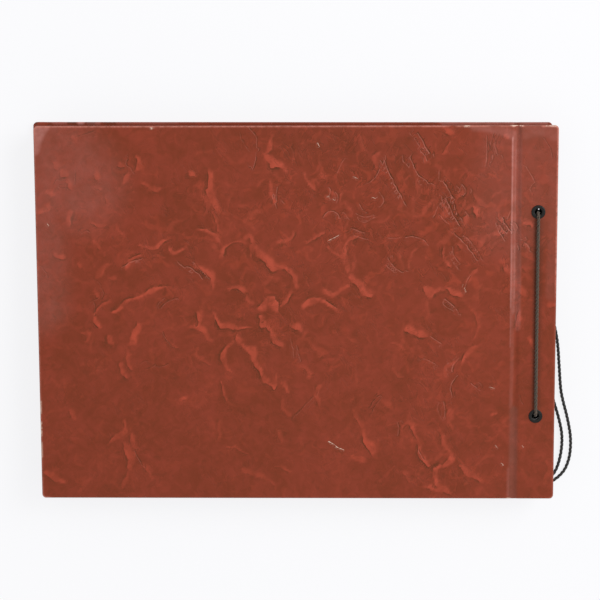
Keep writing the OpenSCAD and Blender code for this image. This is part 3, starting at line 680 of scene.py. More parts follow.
def leatherette(covers):
    """Crushed leatherette paper: mottled ground, bright flattened folds with a painted shadow line and
    painted shade along their sharp side, fine creases with a painted highlight on one flank and painted shade
    on the other, rubbed edges that carry a painted highlight along the arris, dust with painted sheen, dirt
    with painted shade beside the cord and eyelets, and pale scratches."""
    look = Finish("leatherette")
    times, plus, minus, spots, between = look.times, look.plus, look.minus, look.spots, look.between
    busy, hair, pale = (look.attribute(name) for name in ("busy", "hair", "pale"))
    jitter = spots((420, 3, 0.6), 0.3, 0.7, -0.34, 0.34, smooth=False)
    edge = plus(look.attribute("edge"), jitter)
    sharp = times(look.attribute("sharp"), spots((75, 2, 0.5), 0.40, 0.58, 0.12, 1))
    patchy = spots((150, 3, 0.55, 0.5), 0.30, 0.62, 0.50, 1.15)
    inside = minus(1.0, times(sharp, between(edge, 0.35, -0.4)))
    vein = look.calc("MULTIPLY", times(look.attribute("vein"), inside), patchy, clamp=True)
    broad = spots((24, 4, 0.6, 0.9), 0.34, 0.66)
    blotch = spots((105, 3, 0.5, 1.1), 0.34, 0.68)
    flecks = spots((95, 2, 0.42, 1.2), 0.55, 0.72)
    dull = spots((120, 2, 0.5, 1.8), 0.55, 0.72)
    # Painted shade beside the sharp side of each fold, and the painted shadow line along it.
    shade = times(between(edge, -2.9, -0.7), between(edge, 0.3, -0.3), sharp)
    crease = times(between(edge, -1.7, -0.45), between(edge, 0.35, -0.15), sharp)
    net, net_lit = crease_nets(look, busy)
    # The lit and dim flanks of each fine crease are a painted highlight and painted shade.
    broken = times(look.attribute("hair_share"), spots((330, 3, 0.6), 0.36, 0.56, 0.25, 1))
    fresh = times(broken, minus(1.0, pale))
    hair_edge = plus(hair, times(jitter, 0.5))
    lit = times(look.close(hair_edge, -0.46, 0.50, 0.12), fresh)
    dim = times(look.close(hair_edge, 0.32, 0.60, 0.18), fresh)
    scratch = times(look.close(hair, 0.0, 0.30, 0.08), broken, pale)
    # Dust and fine wear together with painted sheen.
    haze = times(look.attribute("haze"), spots((120, 4, 0.65), 0.25, 0.75, 0.5, 1.2, smooth=False))
    # Worn edges, partly a painted highlight along the rounded arris.
    rubbed = times(look.attribute("rubbed"), spots((300, 4, 0.65), 0.32, 0.60, 0.3, 1))
    chipped = times(look.attribute("chipped"), spots((700, 3, 0.6), 0.35, 0.5))
    blend = look.mix(plus(times(broad, 0.5), times(blotch, 0.5)), covers.deep, covers.ground)
    # In these coats the shade, crease, net and dim coats are painted shade, the net_lit and lit coats are
    # painted highlights, the haze coat is dust with painted sheen, the grime coat is dirt with painted shade,
    # and the rubbed coat is wear with a painted highlight along the arris.
    blend = look.coats(
        blend,
        (times(flecks, busy, 0.30), covers.vein),
        (times(dull, 0.21), covers.line),
        (times(shade, 0.34), covers.line),
        # Folds in busy places lean towards the haze colour, a painted sheen.
        (times(vein, 0.86), look.mix(times(busy, 0.05), covers.vein, covers.haze)),
        (times(crease, 0.72), covers.line),
        (times(net, 0.34), covers.line),
        (times(net_lit, 0.28), covers.vein),
        (times(lit, between(busy, 0.36, 0.75, 0.14, 0.50)), covers.worn),
        (times(dim, 0.95), covers.line),
        (haze, covers.haze),
        (times(look.attribute("grime"), 0.75), covers.grime),
        (rubbed, covers.worn),
        (look.calc("MAXIMUM", chipped, scratch), covers.bare))
    grain = look.mix(look.noise(1500, 2, 0.5), (0.06, 0.02, 0.01), (0.50, 0.18, 0.11))
    blend = look.mix(0.08, blend, grain, how="OVERLAY")
    flank = minus(times(vein, 0.55), plus(times(crease, 0.8), times(net, 0.5)))
    flank = plus(plus(flank, times(minus(lit, dim), 0.8)), times(flecks, 0.25))
    normal = look.bump(look.noise(800, 3, 0.6), 0.05, 0.6, look.bump(flank, 0.26, 0.9))
    gloss = spots((160, 4, 0.6), 0.3, 0.7, 0.40, 0.58, smooth=False)
    return look.done(blend, plus(gloss, times(rubbed, 0.2)), 0.16, normal)


def pasteboard(covers):
    """Grey-brown board with layers along its edge and short pale fibres."""
    look = Finish("pasteboard")
    fibres = look.noise(900, 5, 0.6, vector=look.stretched((1, 1, 6)))
    layers = look.noise(60, 2, 0.5, vector=look.stretched((0.2, 0.2, 60)))
    share = look.between(look.plus(fibres, layers), 0.7, 1.3)
    blend = look.mix(share, tint(covers.board, 0.62), covers.board)
    return look.done(blend, 0.9, 0.2, look.bump(fibres, 0.08))


def plain_paper(name, base, fleck, weave):
    """Matt paper with soft cloudiness, small fibres and a toothy surface."""
    look = Finish(name)
    dust = look.between(look.noise(700, 4, 0.65, 0.8, look.stretched((1, 3, 1))), 0.58, 0.72)
    blend = look.mix(look.spots((18, 4, 0.6), 0.3, 0.7, 0.0, 0.35), base, tint(base, 1.7))
    blend = look.mix(look.times(dust, 0.45), blend, fleck)
    return look.done(blend, 0.86, 0.25, look.bump(look.noise(weave, 3, 0.6), 0.05, 0.7))


def leaf_paper(leaves):
    """Black album paper, greyer along its cut edges, where the fibres show."""
    look = Finish("album_paper")
    fibres = look.times(look.spots((900, 4, 0.65, 0.9), 0.56, 0.74), 0.35)
    cut = look.times(look.attribute("cut"), look.spots((420, 3, 0.6), 0.3, 0.7, 0.3, 1.0))
    blend = look.mix(look.spots((14, 4, 0.6, 0.6), 0.3, 0.7, 0.0, 0.4), leaves.black, tint(leaves.black, 1.8))
    blend = look.coats(blend, (fibres, leaves.fibre), (cut, leaves.fibre))
    return look.done(blend, 0.88, 0.22, look.bump(look.noise(1300, 3, 0.6), 0.05, 0.7))


def hinge_cloth(covers):
    """Dark woven cloth at the back of a groove."""
    look = Finish("hinge_cloth")
    threads = {"Vector": look.place, "Scale": 620.0, "Distortion": 0.6}
    warp, weft = (look.add("ShaderNodeTexWave", threads, bands_direction=way).outputs["Fac"] for way in "XY")
    weave = look.times(warp, weft)
    blend = look.mix(weave, covers.lining, tint(covers.lining, 2.2))
    return look.done(blend, 0.9, 0.2, look.bump(weave, 0.08))


def yarn(cord, name, base, fleck_share):
    """Twisted yarn: fine fibres wound round each ply, with tan flecks and a dull sheen."""
    look = Finish(name)
    wound = look.stretched((1, 1, 1), look.add("ShaderNodeUVMap", uv_map="ply").outputs["UV"], turn=28)
    fibres = look.noise(1.0, 4, 0.6, 0.3, look.stretched((26, 2.2, 1), wound))
    spots = look.between(look.noise(1.0, 2, 0.5, 0.4, look.stretched((9, 0.8, 1), wound)), 0.62, 0.72)
    blend = look.mix(look.between(fibres, 0.32, 0.68), tint(base, 0.55), tint(base, 1.6))
    blend = look.mix(look.times(spots, fleck_share), blend, cord.fleck)
    return look.done(blend, 0.62, 0.35, look.bump(fibres, 0.12, 0.9), Sheen_Weight=0.25, Sheen_Roughness=0.5)


def enamel(cord):
    """Black enamel with fine scuffs that dull it and show brassy specks on its crown."""
    look = Finish("eyelet_enamel")
    scuffs = look.noise(1600, 4, 0.7, 0.5)
    worn = look.times(look.between(scuffs, 0.60, 0.72), look.attribute("crown"), 0.6)
    blend = look.mix(worn, cord.enamel, (0.16, 0.14, 0.11))
    return look.done(blend, look.between(scuffs, 0.3, 0.7, 0.30, 0.46), 0.28, look.bump(scuffs, 0.02, 0.4))


def tag_metal(cord):
    """Dull plated tin with fine marks along the tag."""
    look = Finish("tag_metal")
    marks = look.noise(2600, 4, 0.6)
    blend = look.mix(look.between(marks, 0.35, 0.7), tint(cord.metal, 0.55), cord.metal)
    rough = look.between(marks, 0.3, 0.7, 0.28, 0.5)
    return look.done(blend, rough, 0.5, look.bump(marks, 0.02, 0.5), Metallic=0.9)


def finish_of(name, make, *sizes):
    """The named finish, made once."""
    return bpy.data.materials.get(name + "_finish") or make(*sizes)


def link(name, data):
    """A new object in the scene."""
    piece = bpy.data.objects.new(name, data)
    bpy.context.scene.collection.objects.link(piece)
    return piece


def new_piece(name, points, faces, material, values=None):
    """A smooth mesh object at the origin, with per-point values as attributes."""
    mesh = bpy.data.meshes.new(name)
    mesh.from_pydata(np.asarray(points, float).tolist(), [], faces)
    mesh.update()
    for key, value in (values or {}).items():
        mesh.attributes.new(key, "FLOAT", "POINT").data.foreach_set("value", np.asarray(value, np.float32))
    mesh.polygons.foreach_set("use_smooth", np.ones(len(mesh.polygons), bool))
    mesh.materials.append(material)
    piece = link(name, mesh)
    return piece


def face_outwards(piece):
    """Turns the faces of a closed mesh outwards."""
    mesh = bmesh.new()
    mesh.from_mesh(piece.data)
    bmesh.ops.recalc_face_normals(mesh, faces=mesh.faces)
    mesh.to_mesh(piece.data)
    mesh.free()


def bind(piece, node):
    """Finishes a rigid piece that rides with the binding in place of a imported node."""
    face_outwards(piece)
    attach(piece, "binding")
    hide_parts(node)


def cross_fold(piece, z):
    """Bakes a sheet's place into its mesh."""
    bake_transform(piece)


def grid_faces(rows, columns, start=0, closed=False):
    """Quads of a grid of rows by columns points, the last column joined to the first if closed."""
    i, j = np.meshgrid(np.arange(rows - 1), np.arange(columns if closed else columns - 1), indexing="ij")
    near, far = i * columns, (i + 1) * columns
    across = (j + 1) % columns
    return np.stack([near + j, near + across, far + across, far + j], -1).reshape(-1, 4) + start


def band(a, b):
    """Quads between two rings of point numbers."""
    return np.stack([a, np.roll(a, -1), np.roll(b, -1), b], -1)


class CoverShape:
    """The covering of one cover, drawn with the fold along x = 0, the fore-edge towards -X and
    the outer surface at z = 0 facing up.

    The paper lies on grid lines. Lines inside the cover carry a plain coordinate. Those past the
    straight part carry a step number instead: each step is a part of the profile and a share of
    it, and the profile runs out to the arris, round it, down the edge, round below it and in over
    the board's inner face. In a corner the larger of the two step numbers gives the place on the
    profile, and their ratio gives the bearing, from 0 to 90 degrees. RUBBED is how much of the
    wear on an edge shows at each of the first steps.

    RIM_ROUND is the radius of the corners of the turned-in paper's rim, EASE the stretch beside a
    corner in which the rim's points draw together, PRESSED the stretch in which the groove gets
    deeper, and LEAST the least radius of any rounding."""
    STEPS = [(0, 0.6), (0, 1), (1, 0.25), (1, 0.5), (1, 0.75), (1, 1), (2, 0.5), (2, 1),
             (3, 0.33), (3, 0.66), (3, 1), (4, 0.3), (4, 0.7), (4, 1)]
    RUBBED = (0, 0.3, 1, 1, 0.6, 0.2)
    RIM_ROUND = 0.3 * MM
    EASE = 20 * MM
    PRESSED = (-60 * MM, 60 * MM)
    LEAST = 0.01 * MM

    def __init__(self, covers, lap=0.0):
        self.covers = covers
        self.low = np.array([-PANEL_REACH - lap, -COVER_HALF_H]) + covers.corner
        self.high = np.array([STRIP_REACH - lap, COVER_HALF_H]) - covers.corner

    def inner_lines(self, axis, stops):
        """Even lines between the stops, no further apart than a cell."""
        marks = [self.low[axis], *stops, self.high[axis]]
        runs = [np.linspace(a, b, max(1, math.ceil((b - a) / self.covers.cell - 1e-6)) + 1)[:-1]
                for a, b in zip(marks, marks[1:])]
        return np.concatenate([*runs, [marks[-1]]])

    def by_step(self, values):
        """A table with 0 for the lines inside the cover and then a value for each step."""
        return np.array([0, *values, *[0] * (len(self.STEPS) - len(values))])

    def run_of(self, part, share_on):
        """Length along the profile from the straight part to a step."""
        c = self.covers
        bend = c.arris * PI / 2
        lengths = [c.corner - c.arris, bend, COVER_T - 2 * c.arris, bend, c.turn_in - c.arris]
        return sum(lengths[:part]) + lengths[part] * share_on

    def surface(self, x_lines, y_lines, offset):
        """Points, outward directions, flat places and step numbers of the paper's outer side, or of
        a side that lies offset further in. The groove is a valley as deep as cos^2 of half a turn
        across it, and shallower towards the foot. The profile is drawn out along each point's
        bearing, and its last part goes straight to the rim of the turned-in paper."""
        c = self.covers
        steps = len(self.STEPS)
        out = np.arange(1, steps + 1)
        numbers, plain = [], []
        for lines, low, high in zip((x_lines, y_lines), self.low, self.high):
            numbers.append(np.concatenate([-out[::-1], np.zeros(len(lines), int), out]))
            plain.append(np.concatenate([np.full(steps, low), lines, np.full(steps, high)]))
        k = np.stack(np.meshgrid(*numbers, indexing="ij"), -1)
        p = np.stack(np.meshgrid(*plain, indexing="ij"), -1)
        sign, size = np.sign(k), np.abs(k)
        step = size.max(-1)
        ratio = size.min(-1) / np.maximum(step, 1)
        bearing = np.where(size[..., 0] >= size[..., 1], ratio * PI / 4, PI / 2 - ratio * PI / 4)
        way = np.stack([np.cos(bearing), np.sin(bearing)], -1) * sign
        way[step == 0] = 0
        part, share_on = (self.by_step(column)[step] for column in zip(*self.STEPS))
        dip = np.cos(np.clip(p[..., 0] / c.groove, -0.5, 0.5) * PI) ** 2
        top = -c.groove_depth * dip * (0.5 + 0.5 * fade(p[..., 1], *self.PRESSED))
        low = -COVER_T + (COVER_T - c.groove_depth - c.fold) * dip
        arris = np.minimum(c.arris, (top - low) / 2 - self.LEAST)
        inner = np.maximum(arris - offset, self.LEAST)
        flat = c.corner - arris
        turn = share_on * PI / 2
        upper, lower = top - arris, low + arris
        parts = [part == number for number in range(4)]
        radial = np.select(parts, [share_on * flat, flat + inner * np.sin(turn), flat + inner,
                                   flat + inner * np.cos(turn)], flat)
        z = np.select(parts, [
            upper + inner, upper + inner * np.cos(turn), upper + (lower - upper) * share_on,
            lower - inner * np.sin(turn)], lower - inner)
        lean = np.select(parts, [0 * turn, turn, 0 * turn + PI / 2, turn + PI / 2], PI)
        off = p - (self.low + self.high) / 2
        ease = np.clip((np.abs(off) - (self.high - self.low) / 2 + self.EASE) / self.EASE, 0, 1)
        ease *= np.sign(off)
        inset = c.turn_in - c.corner
        held = size > 0
        rim = p - np.where(held, sign, ease) * (inset + self.RIM_ROUND)
        rim = np.where(held & ~held[..., ::-1], p - sign * inset, rim)
        rim = np.where(held.all(-1)[..., None], rim + way * self.RIM_ROUND, rim)
        inward = np.where(part == 4, share_on, 0)[..., None]
        turned_in = (p + way * flat[..., None]) * (1 - inward) + rim * inward
        place = np.where(inward > 0, turned_in, p + way * radial[..., None])
        points = np.concatenate([place, z[..., None]], -1)
        outward = np.concatenate([way * np.sin(lean)[..., None], np.cos(lean)[..., None]], -1)
        run = self.by_step([self.run_of(*place_on) for place_on in self.STEPS])[step]
        return points, outward, p + way * run[..., None], step

    def to_back(self, points):
        """Places on the back cover, its outer side up."""
        return points + [FOLD_X, 0, TOP_Z]

    def to_front(self, points):
        """Places on the front cover, its outer side down. The panel slopes down from the groove
        to the fore-edge, and the slope comes in smoothly across the groove."""
        half = self.covers.groove / 2
        tilt = FRONT_TILT * (1 - fade(points[..., 0], -half, half))
        x, y, z = points[..., 0], points[..., 1], -points[..., 2]
        return np.stack([x * np.cos(tilt) - z * np.sin(tilt) + FOLD_X, y,
                         x * np.sin(tilt) + z * np.cos(tilt) + FRONT_Z], -1)


def hole_square(lines, centre, half):
    """First and last line of the square round a hole."""
    return [int(np.argmin(np.abs(lines - centre - side * half))) for side in SIDES]


def walk_round(i0, i1, j0, j1):
    """Grid places round a rectangle of lines, once about."""
    one = [(i, j0) for i in range(i0, i1)] + [(i1, j) for j in range(j0, j1)]
    two = [(i, j1) for i in range(i1, i0, -1)] + [(i0, j) for j in range(j1, j0, -1)]
    return np.array(one + two)


def shell(outer, inner, rows, columns, holes):
    """A closed sheet between two grids of points. The inner grid has only some of the outer one's
    lines, given by rows and columns. A hole is (i0, i1, j0, j1, x, y, radius) in the outer grid's
    lines: its square turns into a circle in three rings, each point moving straight from the
    square to the circle. Columns past the third carry values that are moved along in the same way."""
    blocks, faces, count = [], [], 0
    rings = {}
    tall, wide = outer.shape[:2]
    sides = ((outer, np.arange(tall), np.arange(wide)), (inner, rows, columns))
    for side, (grid, ri, ci) in enumerate(sides):
        blocks.append(grid.reshape(-1, grid.shape[2]))
        start = count
        count += len(blocks[-1])
        keep = np.ones((grid.shape[0] - 1, grid.shape[1] - 1), bool)
        for number, (i0, i1, j0, j1, *middle, radius) in enumerate(holes):
            a0, a1 = np.searchsorted(ri, (i0, i1))
            b0, b1 = np.searchsorted(ci, (j0, j1))
            keep[a0:a1, b0:b1] = False
            walk = walk_round(a0, a1, b0, b1)
            last = start + walk[:, 0] * grid.shape[1] + walk[:, 1]
            square = grid[walk[:, 0], walk[:, 1]]
            away = square[:, :2] - middle
            circle = square.copy()
            circle[:, :2] = middle + away / np.hypot(away[:, 0], away[:, 1])[:, None] * radius
            circle[:, 2] = square[:, 2].max()
            for t in (0.35, 0.7, 1.0):
                blocks.append(square * (1 - t) + circle * t)
                ring = count + np.arange(len(walk))
                count += len(walk)
                faces.append(band(last, ring))
                last = ring
            rings[side, number] = last
        faces.append(grid_faces(*grid.shape[:2], start)[keep.ravel()])
    faces += [band(rings[0, number], rings[1, number]) for number in range(len(holes))]
    quads = np.concatenate(faces).tolist()
    around = walk_round(0, tall - 1, 0, wide - 1)
    number_of = {tuple(place): n for n, place in enumerate(around.tolist())}
    inner_walk = walk_round(0, len(rows) - 1, 0, len(columns) - 1)
    fine = (around[:, 0] * wide + around[:, 1]).tolist()
    near = [number_of[rows[i], columns[j]] for i, j in inner_walk]
    ids = (start + inner_walk[:, 0] * len(columns) + inner_walk[:, 1]).tolist()
    for k, a in enumerate(near):
        b = near[(k + 1) % len(near)] or len(fine)
        run = [fine[n % len(fine)] for n in range(b, a - 1, -1)]
        quads.append([ids[k], ids[(k + 1) % len(ids)], *run])
    return np.concatenate(blocks), quads


def thinned(lines, runs, more):
    """Which lines the plain inner side has: every sixth, the last, whole runs and some more."""
    chosen = np.zeros(len(lines), bool)
    chosen[::6] = chosen[-1] = True
    chosen[more] = True
    for first, last in runs:
        chosen[first:last + 1] = True
    return chosen


def covering(name, covers, turn_over, seed, folds, hairlines, wear):
    """The paper of a whole cover in one sheet, across its groove: a fine outer side with the
    crushed grain, a plain inner side, and the cut edge and eyelet holes between them. The grain
    stands out along the profile's outward directions by its swell times the relief, and is calm
    round the eyelets and past the arris."""
    lap = FRONT_LAP if turn_over else 0.0
    shape = CoverShape(covers, lap)
    steps = len(shape.STEPS)
    square, groove, hole_x = 5.2 * MM, 4.5 * MM, HOLE_X - FOLD_X
    least_busy = 0.35
    x_lines = shape.inner_lines(0, [-groove, groove, hole_x - square, hole_x + square])
    between = (x_lines[1:] + x_lines[:-1]) / 2
    x_lines = np.sort(np.concatenate([x_lines, between[np.abs(between) < groove]]))
    y_lines = shape.inner_lines(1, [s * HOLE_Y + e * square for s in SIDES for e in SIDES])
    outer, outward, paper, step = shape.surface(x_lines, y_lines, 0.0)
    places = paper.reshape(-1, 2) / MM + [(FOLD_X + lap) / MM, 0]
    # The strokes give wear, and also painted sheen and painted shade, as values on the points.
    worn = {key: rub(places, strokes) for key, strokes in wear.items()}
    crush = Crush(places, np.random.default_rng(seed))
    crush.scatter(least_busy + (1 - least_busy) * worn["busy"])
    for *three, width, strength in folds:
        crush.fold(three, width, strength)
    for *three, strength in hairlines:
        crush.bundle(np.reshape(three, (3, 2)).astype(float), strength)
    from_hole = [np.hypot(places[:, 0] - HOLE_X / MM, places[:, 1] - s * HOLE_Y / MM) for s in SIDES]
    flat = step.ravel()
    calm = fade(np.min(from_hole, 0), 4.5, 8) * (1 - 0.85 * fade(flat, 2, 7))
    raised = outward.reshape(-1, 3) * ((crush.swell - 1) * covers.relief * calm)[:, None]
    worn["rubbed"] *= shape.by_step(shape.RUBBED)[flat]
    worn["busy"] += least_busy
    values = {"vein": crush.vein * calm, "edge": crush.edge, "sharp": crush.sharp * calm, "hair": crush.hair,
              "hair_share": crush.hair_share * calm, "pale": crush.pale, **worn}
    fine = np.column_stack([outer.reshape(-1, 3) + raised, *values.values()]).reshape(*outer.shape[:2], -1)
    across = hole_square(x_lines, hole_x, square)
    along = [hole_square(y_lines, s * HOLE_Y, square) for s in SIDES]
    holes = [(*[line + steps for line in across + lines], hole_x, s * HOLE_Y, covers.eyelet_hole)
             for s, lines in zip(SIDES, along)]
    in_groove = np.flatnonzero(np.abs(x_lines) < groove + 0.1 * MM)[::2]
    chosen = thinned(x_lines, [across], in_groove), thinned(y_lines, along, [])
    rows, columns = (np.flatnonzero(np.pad(lines, steps, constant_values=True)) for lines in chosen)
    inner = shape.surface(x_lines[chosen[0]], y_lines[chosen[1]], covers.paper)[0]
    plain = [Crush.CLAMP if key in ("edge", "hair") else 0.0 for key in values]
    blank = np.concatenate([inner, np.broadcast_to(plain, (*inner.shape[:2], len(plain)))], -1)
    table, faces = shell(fine, blank, rows, columns, holes)
    points = shape.to_front(table[:, :3]) if turn_over else shape.to_back(table[:, :3])
    values = {key: table[:, 3 + n] for n, key in enumerate(values)}
    finish = finish_of("leatherette", leatherette, covers)
    piece = new_piece(name, points, faces, finish, values)
    face_outwards(piece)
    return piece


def valley_strip(name, covers, turn_over):
    """Cloth at the back of a groove, between the two boards: it follows a cos^2 valley from the
    linings' level down towards the paper, and ends where the paper is turned in."""
    shape = CoverShape(covers)
    lift, gap, cloth, slack = 0.16 * MM, 0.02 * MM, 0.22 * MM, 0.14 * MM
    x = np.linspace(-0.5, 0.5, 13) * (covers.groove + 2 * covers.paper - 0.06 * MM)
    y = np.linspace(-1, 1, 33) * (COVER_HALF_H - covers.turn_in - 0.1 * MM)
    gx, gy = np.meshgrid(x, y, indexing="ij")
    dip = np.cos(gx / x[-1] * PI / 2) ** 2
    floor = -COVER_T + lift + (COVER_T - covers.groove_depth - covers.fold - lift + gap) * dip
    low = np.stack([gx, gy, floor], -1)
    high = np.stack([gx, gy, floor + cloth + slack * dip], -1)
    table, faces = shell(high, low, np.arange(len(x)), np.arange(len(y)), [])
    points = shape.to_front(table) if turn_over else shape.to_back(table)
    piece = new_piece(name, points, faces, finish_of("hinge_cloth", hinge_cloth, covers))
    face_outwards(piece)
    return piece


def evened(curve, spacing):
    """A polyline walked in even steps no longer than spacing."""
    run = np.concatenate([[0], np.cumsum(np.linalg.norm(np.diff(curve, axis=0), axis=1))])
    marks = np.linspace(0, run[-1], math.ceil(run[-1] / spacing) + 1)
    return np.stack([np.interp(marks, run, curve[:, k]) for k in range(3)], -1)


def smooth_path(points, spacing):
    """A Catmull-Rom curve through the points, walked in even steps no longer than spacing."""
    p = np.concatenate([[2 * points[0] - points[1]], points, [2 * points[-1] - points[-2]]])
    t = np.linspace(0, 1, 17)[:-1, None, None]
    a, b, c, d = p[:-3], p[1:-2], p[2:-1], p[3:]
    curve = 0.5 * (2 * b + (c - a) * t + (2 * a - 5 * b + 4 * c - d) * t ** 2
                   + (3 * b - a - 3 * c + d) * t ** 3)
    return evened(np.concatenate([curve.transpose(1, 0, 2).reshape(-1, 3), p[-2:-1]]), spacing)


def frames_along(path, closed=False):
    """Tangents and two normals along a path. The normals are carried from each point to the next
    with no turn about the path; on a closed path the turn left over is shared out evenly."""
    tangents = np.roll(path, -1, 0) - np.roll(path, 1, 0) if closed else np.gradient(path, axis=0)
    tangents /= np.linalg.norm(tangents, axis=1)[:, None]
    first = np.cross(tangents[0], UP)
    if np.linalg.norm(first) < 0.1:
        first = np.cross(tangents[0], (1.0, 0, 0))
    normals = [first / np.linalg.norm(first)]
    for t in tangents[1:]:
        n = normals[-1] - t * np.dot(normals[-1], t)
        normals.append(n / np.linalg.norm(n))
    normals = np.array(normals)
    sides = np.cross(tangents, normals)
    if closed:
        left = math.atan2(np.dot(normals[-1], sides[0]), np.dot(normals[-1], normals[0]))
        turn = -left * np.arange(len(path)) / len(path)
        cos, sin = np.cos(turn)[:, None], np.sin(turn)[:, None]
        normals, sides = normals * cos + sides * sin, sides * cos - normals * sin
    return tangents, normals, sides


def twisted_cord(name, cord, path, material, closed=False):
    """Plies wound round a path: ply k's middle lies at an angle that grows by a full turn for each
    lay length, at the radius at which the plies touch, and each ply is a round tube."""
    plies, around, rows = cord.plies, 9, len(path)
    radius = cord.thickness / 2
    ply_radius = radius / (1 + 1 / math.sin(PI / plies))
    offset = radius - ply_radius
    tangents, normals, sides = frames_along(path, closed)
    run = np.concatenate([[0], np.cumsum(np.linalg.norm(np.diff(path, axis=0), axis=1))])
    whole = run[-1] + (np.linalg.norm(path[0] - path[-1]) if closed else 0)
    lay = whole / max(1, round(whole * plies / cord.lay)) * plies if closed else cord.lay
    corner = (np.arange(around) / around * 2 * PI + PI)[None, :, None]
    j = np.tile(np.arange(around), rows - 1)
    i = np.repeat(np.arange(rows - 1), around)
    width = 2 * PI * ply_radius / MM / around
    points, faces, uvs = [], [], []
    for k in range(plies):
        bearing = (run / lay * 2 * PI + k / plies * 2 * PI)[:, None]
        out = normals * np.cos(bearing) + sides * np.sin(bearing)
        reach = out[:, None] * np.cos(corner) + np.cross(tangents, out)[:, None] * np.sin(corner)
        points.append((path + out * offset)[:, None] + reach * ply_radius)
        first = k * rows * around + np.arange(around)
        last = first + (rows - 1) * around
        faces += grid_faces(rows, around, first[0], closed=True).tolist()
        u = np.stack([j, j + 1, j + 1, j], -1) * width + 5 * k
        v = run[np.stack([i, i, i + 1, i + 1], -1)] / MM
        uvs.append(np.stack([u, v], -1).reshape(-1, 2))
        if not closed:
            faces += [first.tolist(), last[::-1].tolist()]
            uvs.append(np.zeros((2 * around, 2)))
    grid = np.stack(points)
    if closed:
        joints = ply_joints(grid)
        faces += joints
        uvs.append(np.zeros((4 * len(joints), 2)))
    piece = new_piece(name, grid.reshape(-1, 3), faces, material)
    layer = piece.data.uv_layers.new(name="ply")
    layer.data.foreach_set("uv", np.concatenate(uvs).ravel().astype(np.float32))
    return piece


def ply_joints(grid):
    """Quads that join each ply's last ring to the first ring of the ply that it meets there."""
    plies, rows, around = grid.shape[:3]
    joints = []
    for k in range(plies):
        end = grid[k, -1]
        m = int(np.argmin([np.linalg.norm(end.mean(0) - grid[n, 0].mean(0)) for n in range(plies)]))
        shift = int(np.argmin([np.linalg.norm(end - np.roll(grid[m, 0], -s, 0)) for s in range(around)]))
        last = (k * rows + rows - 1) * around + np.arange(around)
        joints += band(last, m * rows * around + (np.arange(around) + shift) % around).tolist()
    return joints


def turned(profile, sides, ring):
    """A profile of (radius, height) pairs turned about Z. A ring's profile is a closed loop, and
    any other starts and ends on the axis."""
    profile = np.asarray(profile, float)
    bearing = np.arange(sides) / sides * 2 * PI
    body = profile if ring else profile[1:-1]
    flat = body[:, 0, None, None] * np.stack([np.cos(bearing), np.sin(bearing)], -1)
    height = np.broadcast_to(body[:, 1, None, None], (*flat.shape[:2], 1))
    points = np.concatenate([flat, height], -1).reshape(-1, 3)
    faces = grid_faces(len(body), sides, closed=True).tolist()
    near = np.arange(sides)
    far = (len(body) - 1) * sides + near
    if ring:
        return points, faces + band(far, near).tolist()
    tip = len(points)
    points = np.concatenate([points, [[0, 0, profile[0, 1]], [0, 0, profile[-1, 1]]]])
    faces += [[tip, int(a), int(b)] for a, b in zip(np.roll(near, -1), near)]
    faces += [[tip + 1, int(a), int(b)] for a, b in zip(far, np.roll(far, -1))]
    return points, faces


def leaf_sheet(name, leaves, random):
    """A leaf with its laced margin, as one sheet of paper. The page leaves its crease at the slope
    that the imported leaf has, its waves are sums of sines that grow away from the crease, and its
    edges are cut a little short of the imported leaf's."""
    low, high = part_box(name)
    crease_x, _, crease_z = HINGES[name + "_crease"]["pos_m"]
    slope = max(0.0, (high.z - low.z - leaves.paper) / (high.x - low.x))
    spine_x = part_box("leaf_margins")[1].x - random.uniform(0, 0.3) * MM
    fore_x = low.x + random.uniform(0.02, 0.5) * MM
    half_h = high.y - random.uniform(0.02, 0.4) * MM
    skew = random.uniform(-1, 1) * (high.y - half_h)
    square, edge, bend = 3.6 * MM, 1.5 * MM, leaves.crease
    x = np.concatenate([
        [fore_x], np.linspace(fore_x + edge, crease_x - 2 * bend, 16),
        np.linspace(crease_x - bend, crease_x + bend, 7), np.linspace(HOLE_X - square, HOLE_X + square, 5),
        [spine_x - edge, spine_x]])
    upper = np.concatenate([np.linspace(HOLE_Y - square, HOLE_Y + square, 5),
                            np.linspace(HOLE_Y + square, half_h - edge, 5)[1:], [half_h]])
    y = np.concatenate([-upper[::-1], np.linspace(-HOLE_Y + square, HOLE_Y - square, 17)[1:-1], upper])
    gx, gy = np.meshgrid(x, y, indexing="ij")
    away = np.maximum(crease_x - gx, 0)
    phase = random.uniform(0, 2 * PI, 4)
    wave = (np.sin(gx * 21 + gy * 13 + phase[0]) + np.sin(gx * 9 - gy * 27 + phase[1])
            + np.sin(gy * 44 + phase[2]))
    z = -away * slope + wave / 3 * leaves.wave * fade(away, 0.01, 0.12)
    cut = np.ones(gx.shape)
    cut[1:-1, 1:-1] = 0
    top, under = (np.stack([gx, gy, z + side * leaves.paper / 2, cut], -1) for side in (1, -1))
    across = hole_square(x, HOLE_X, square)
    holes = [(*across, *hole_square(y, s * HOLE_Y, square), HOLE_X, s * HOLE_Y, leaves.hole) for s in SIDES]
    table, faces = shell(top, under, np.arange(len(x)), np.arange(len(y)), holes)
    finish = finish_of("album_paper", leaf_paper, leaves)
    piece = new_piece(name + "_sheet", table[:, :3] + [0, skew, crease_z], faces, finish,
                      {"cut": table[:, 3]})
    face_outwards(piece)
    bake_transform(piece)
    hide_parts(name, "leaf_margins")


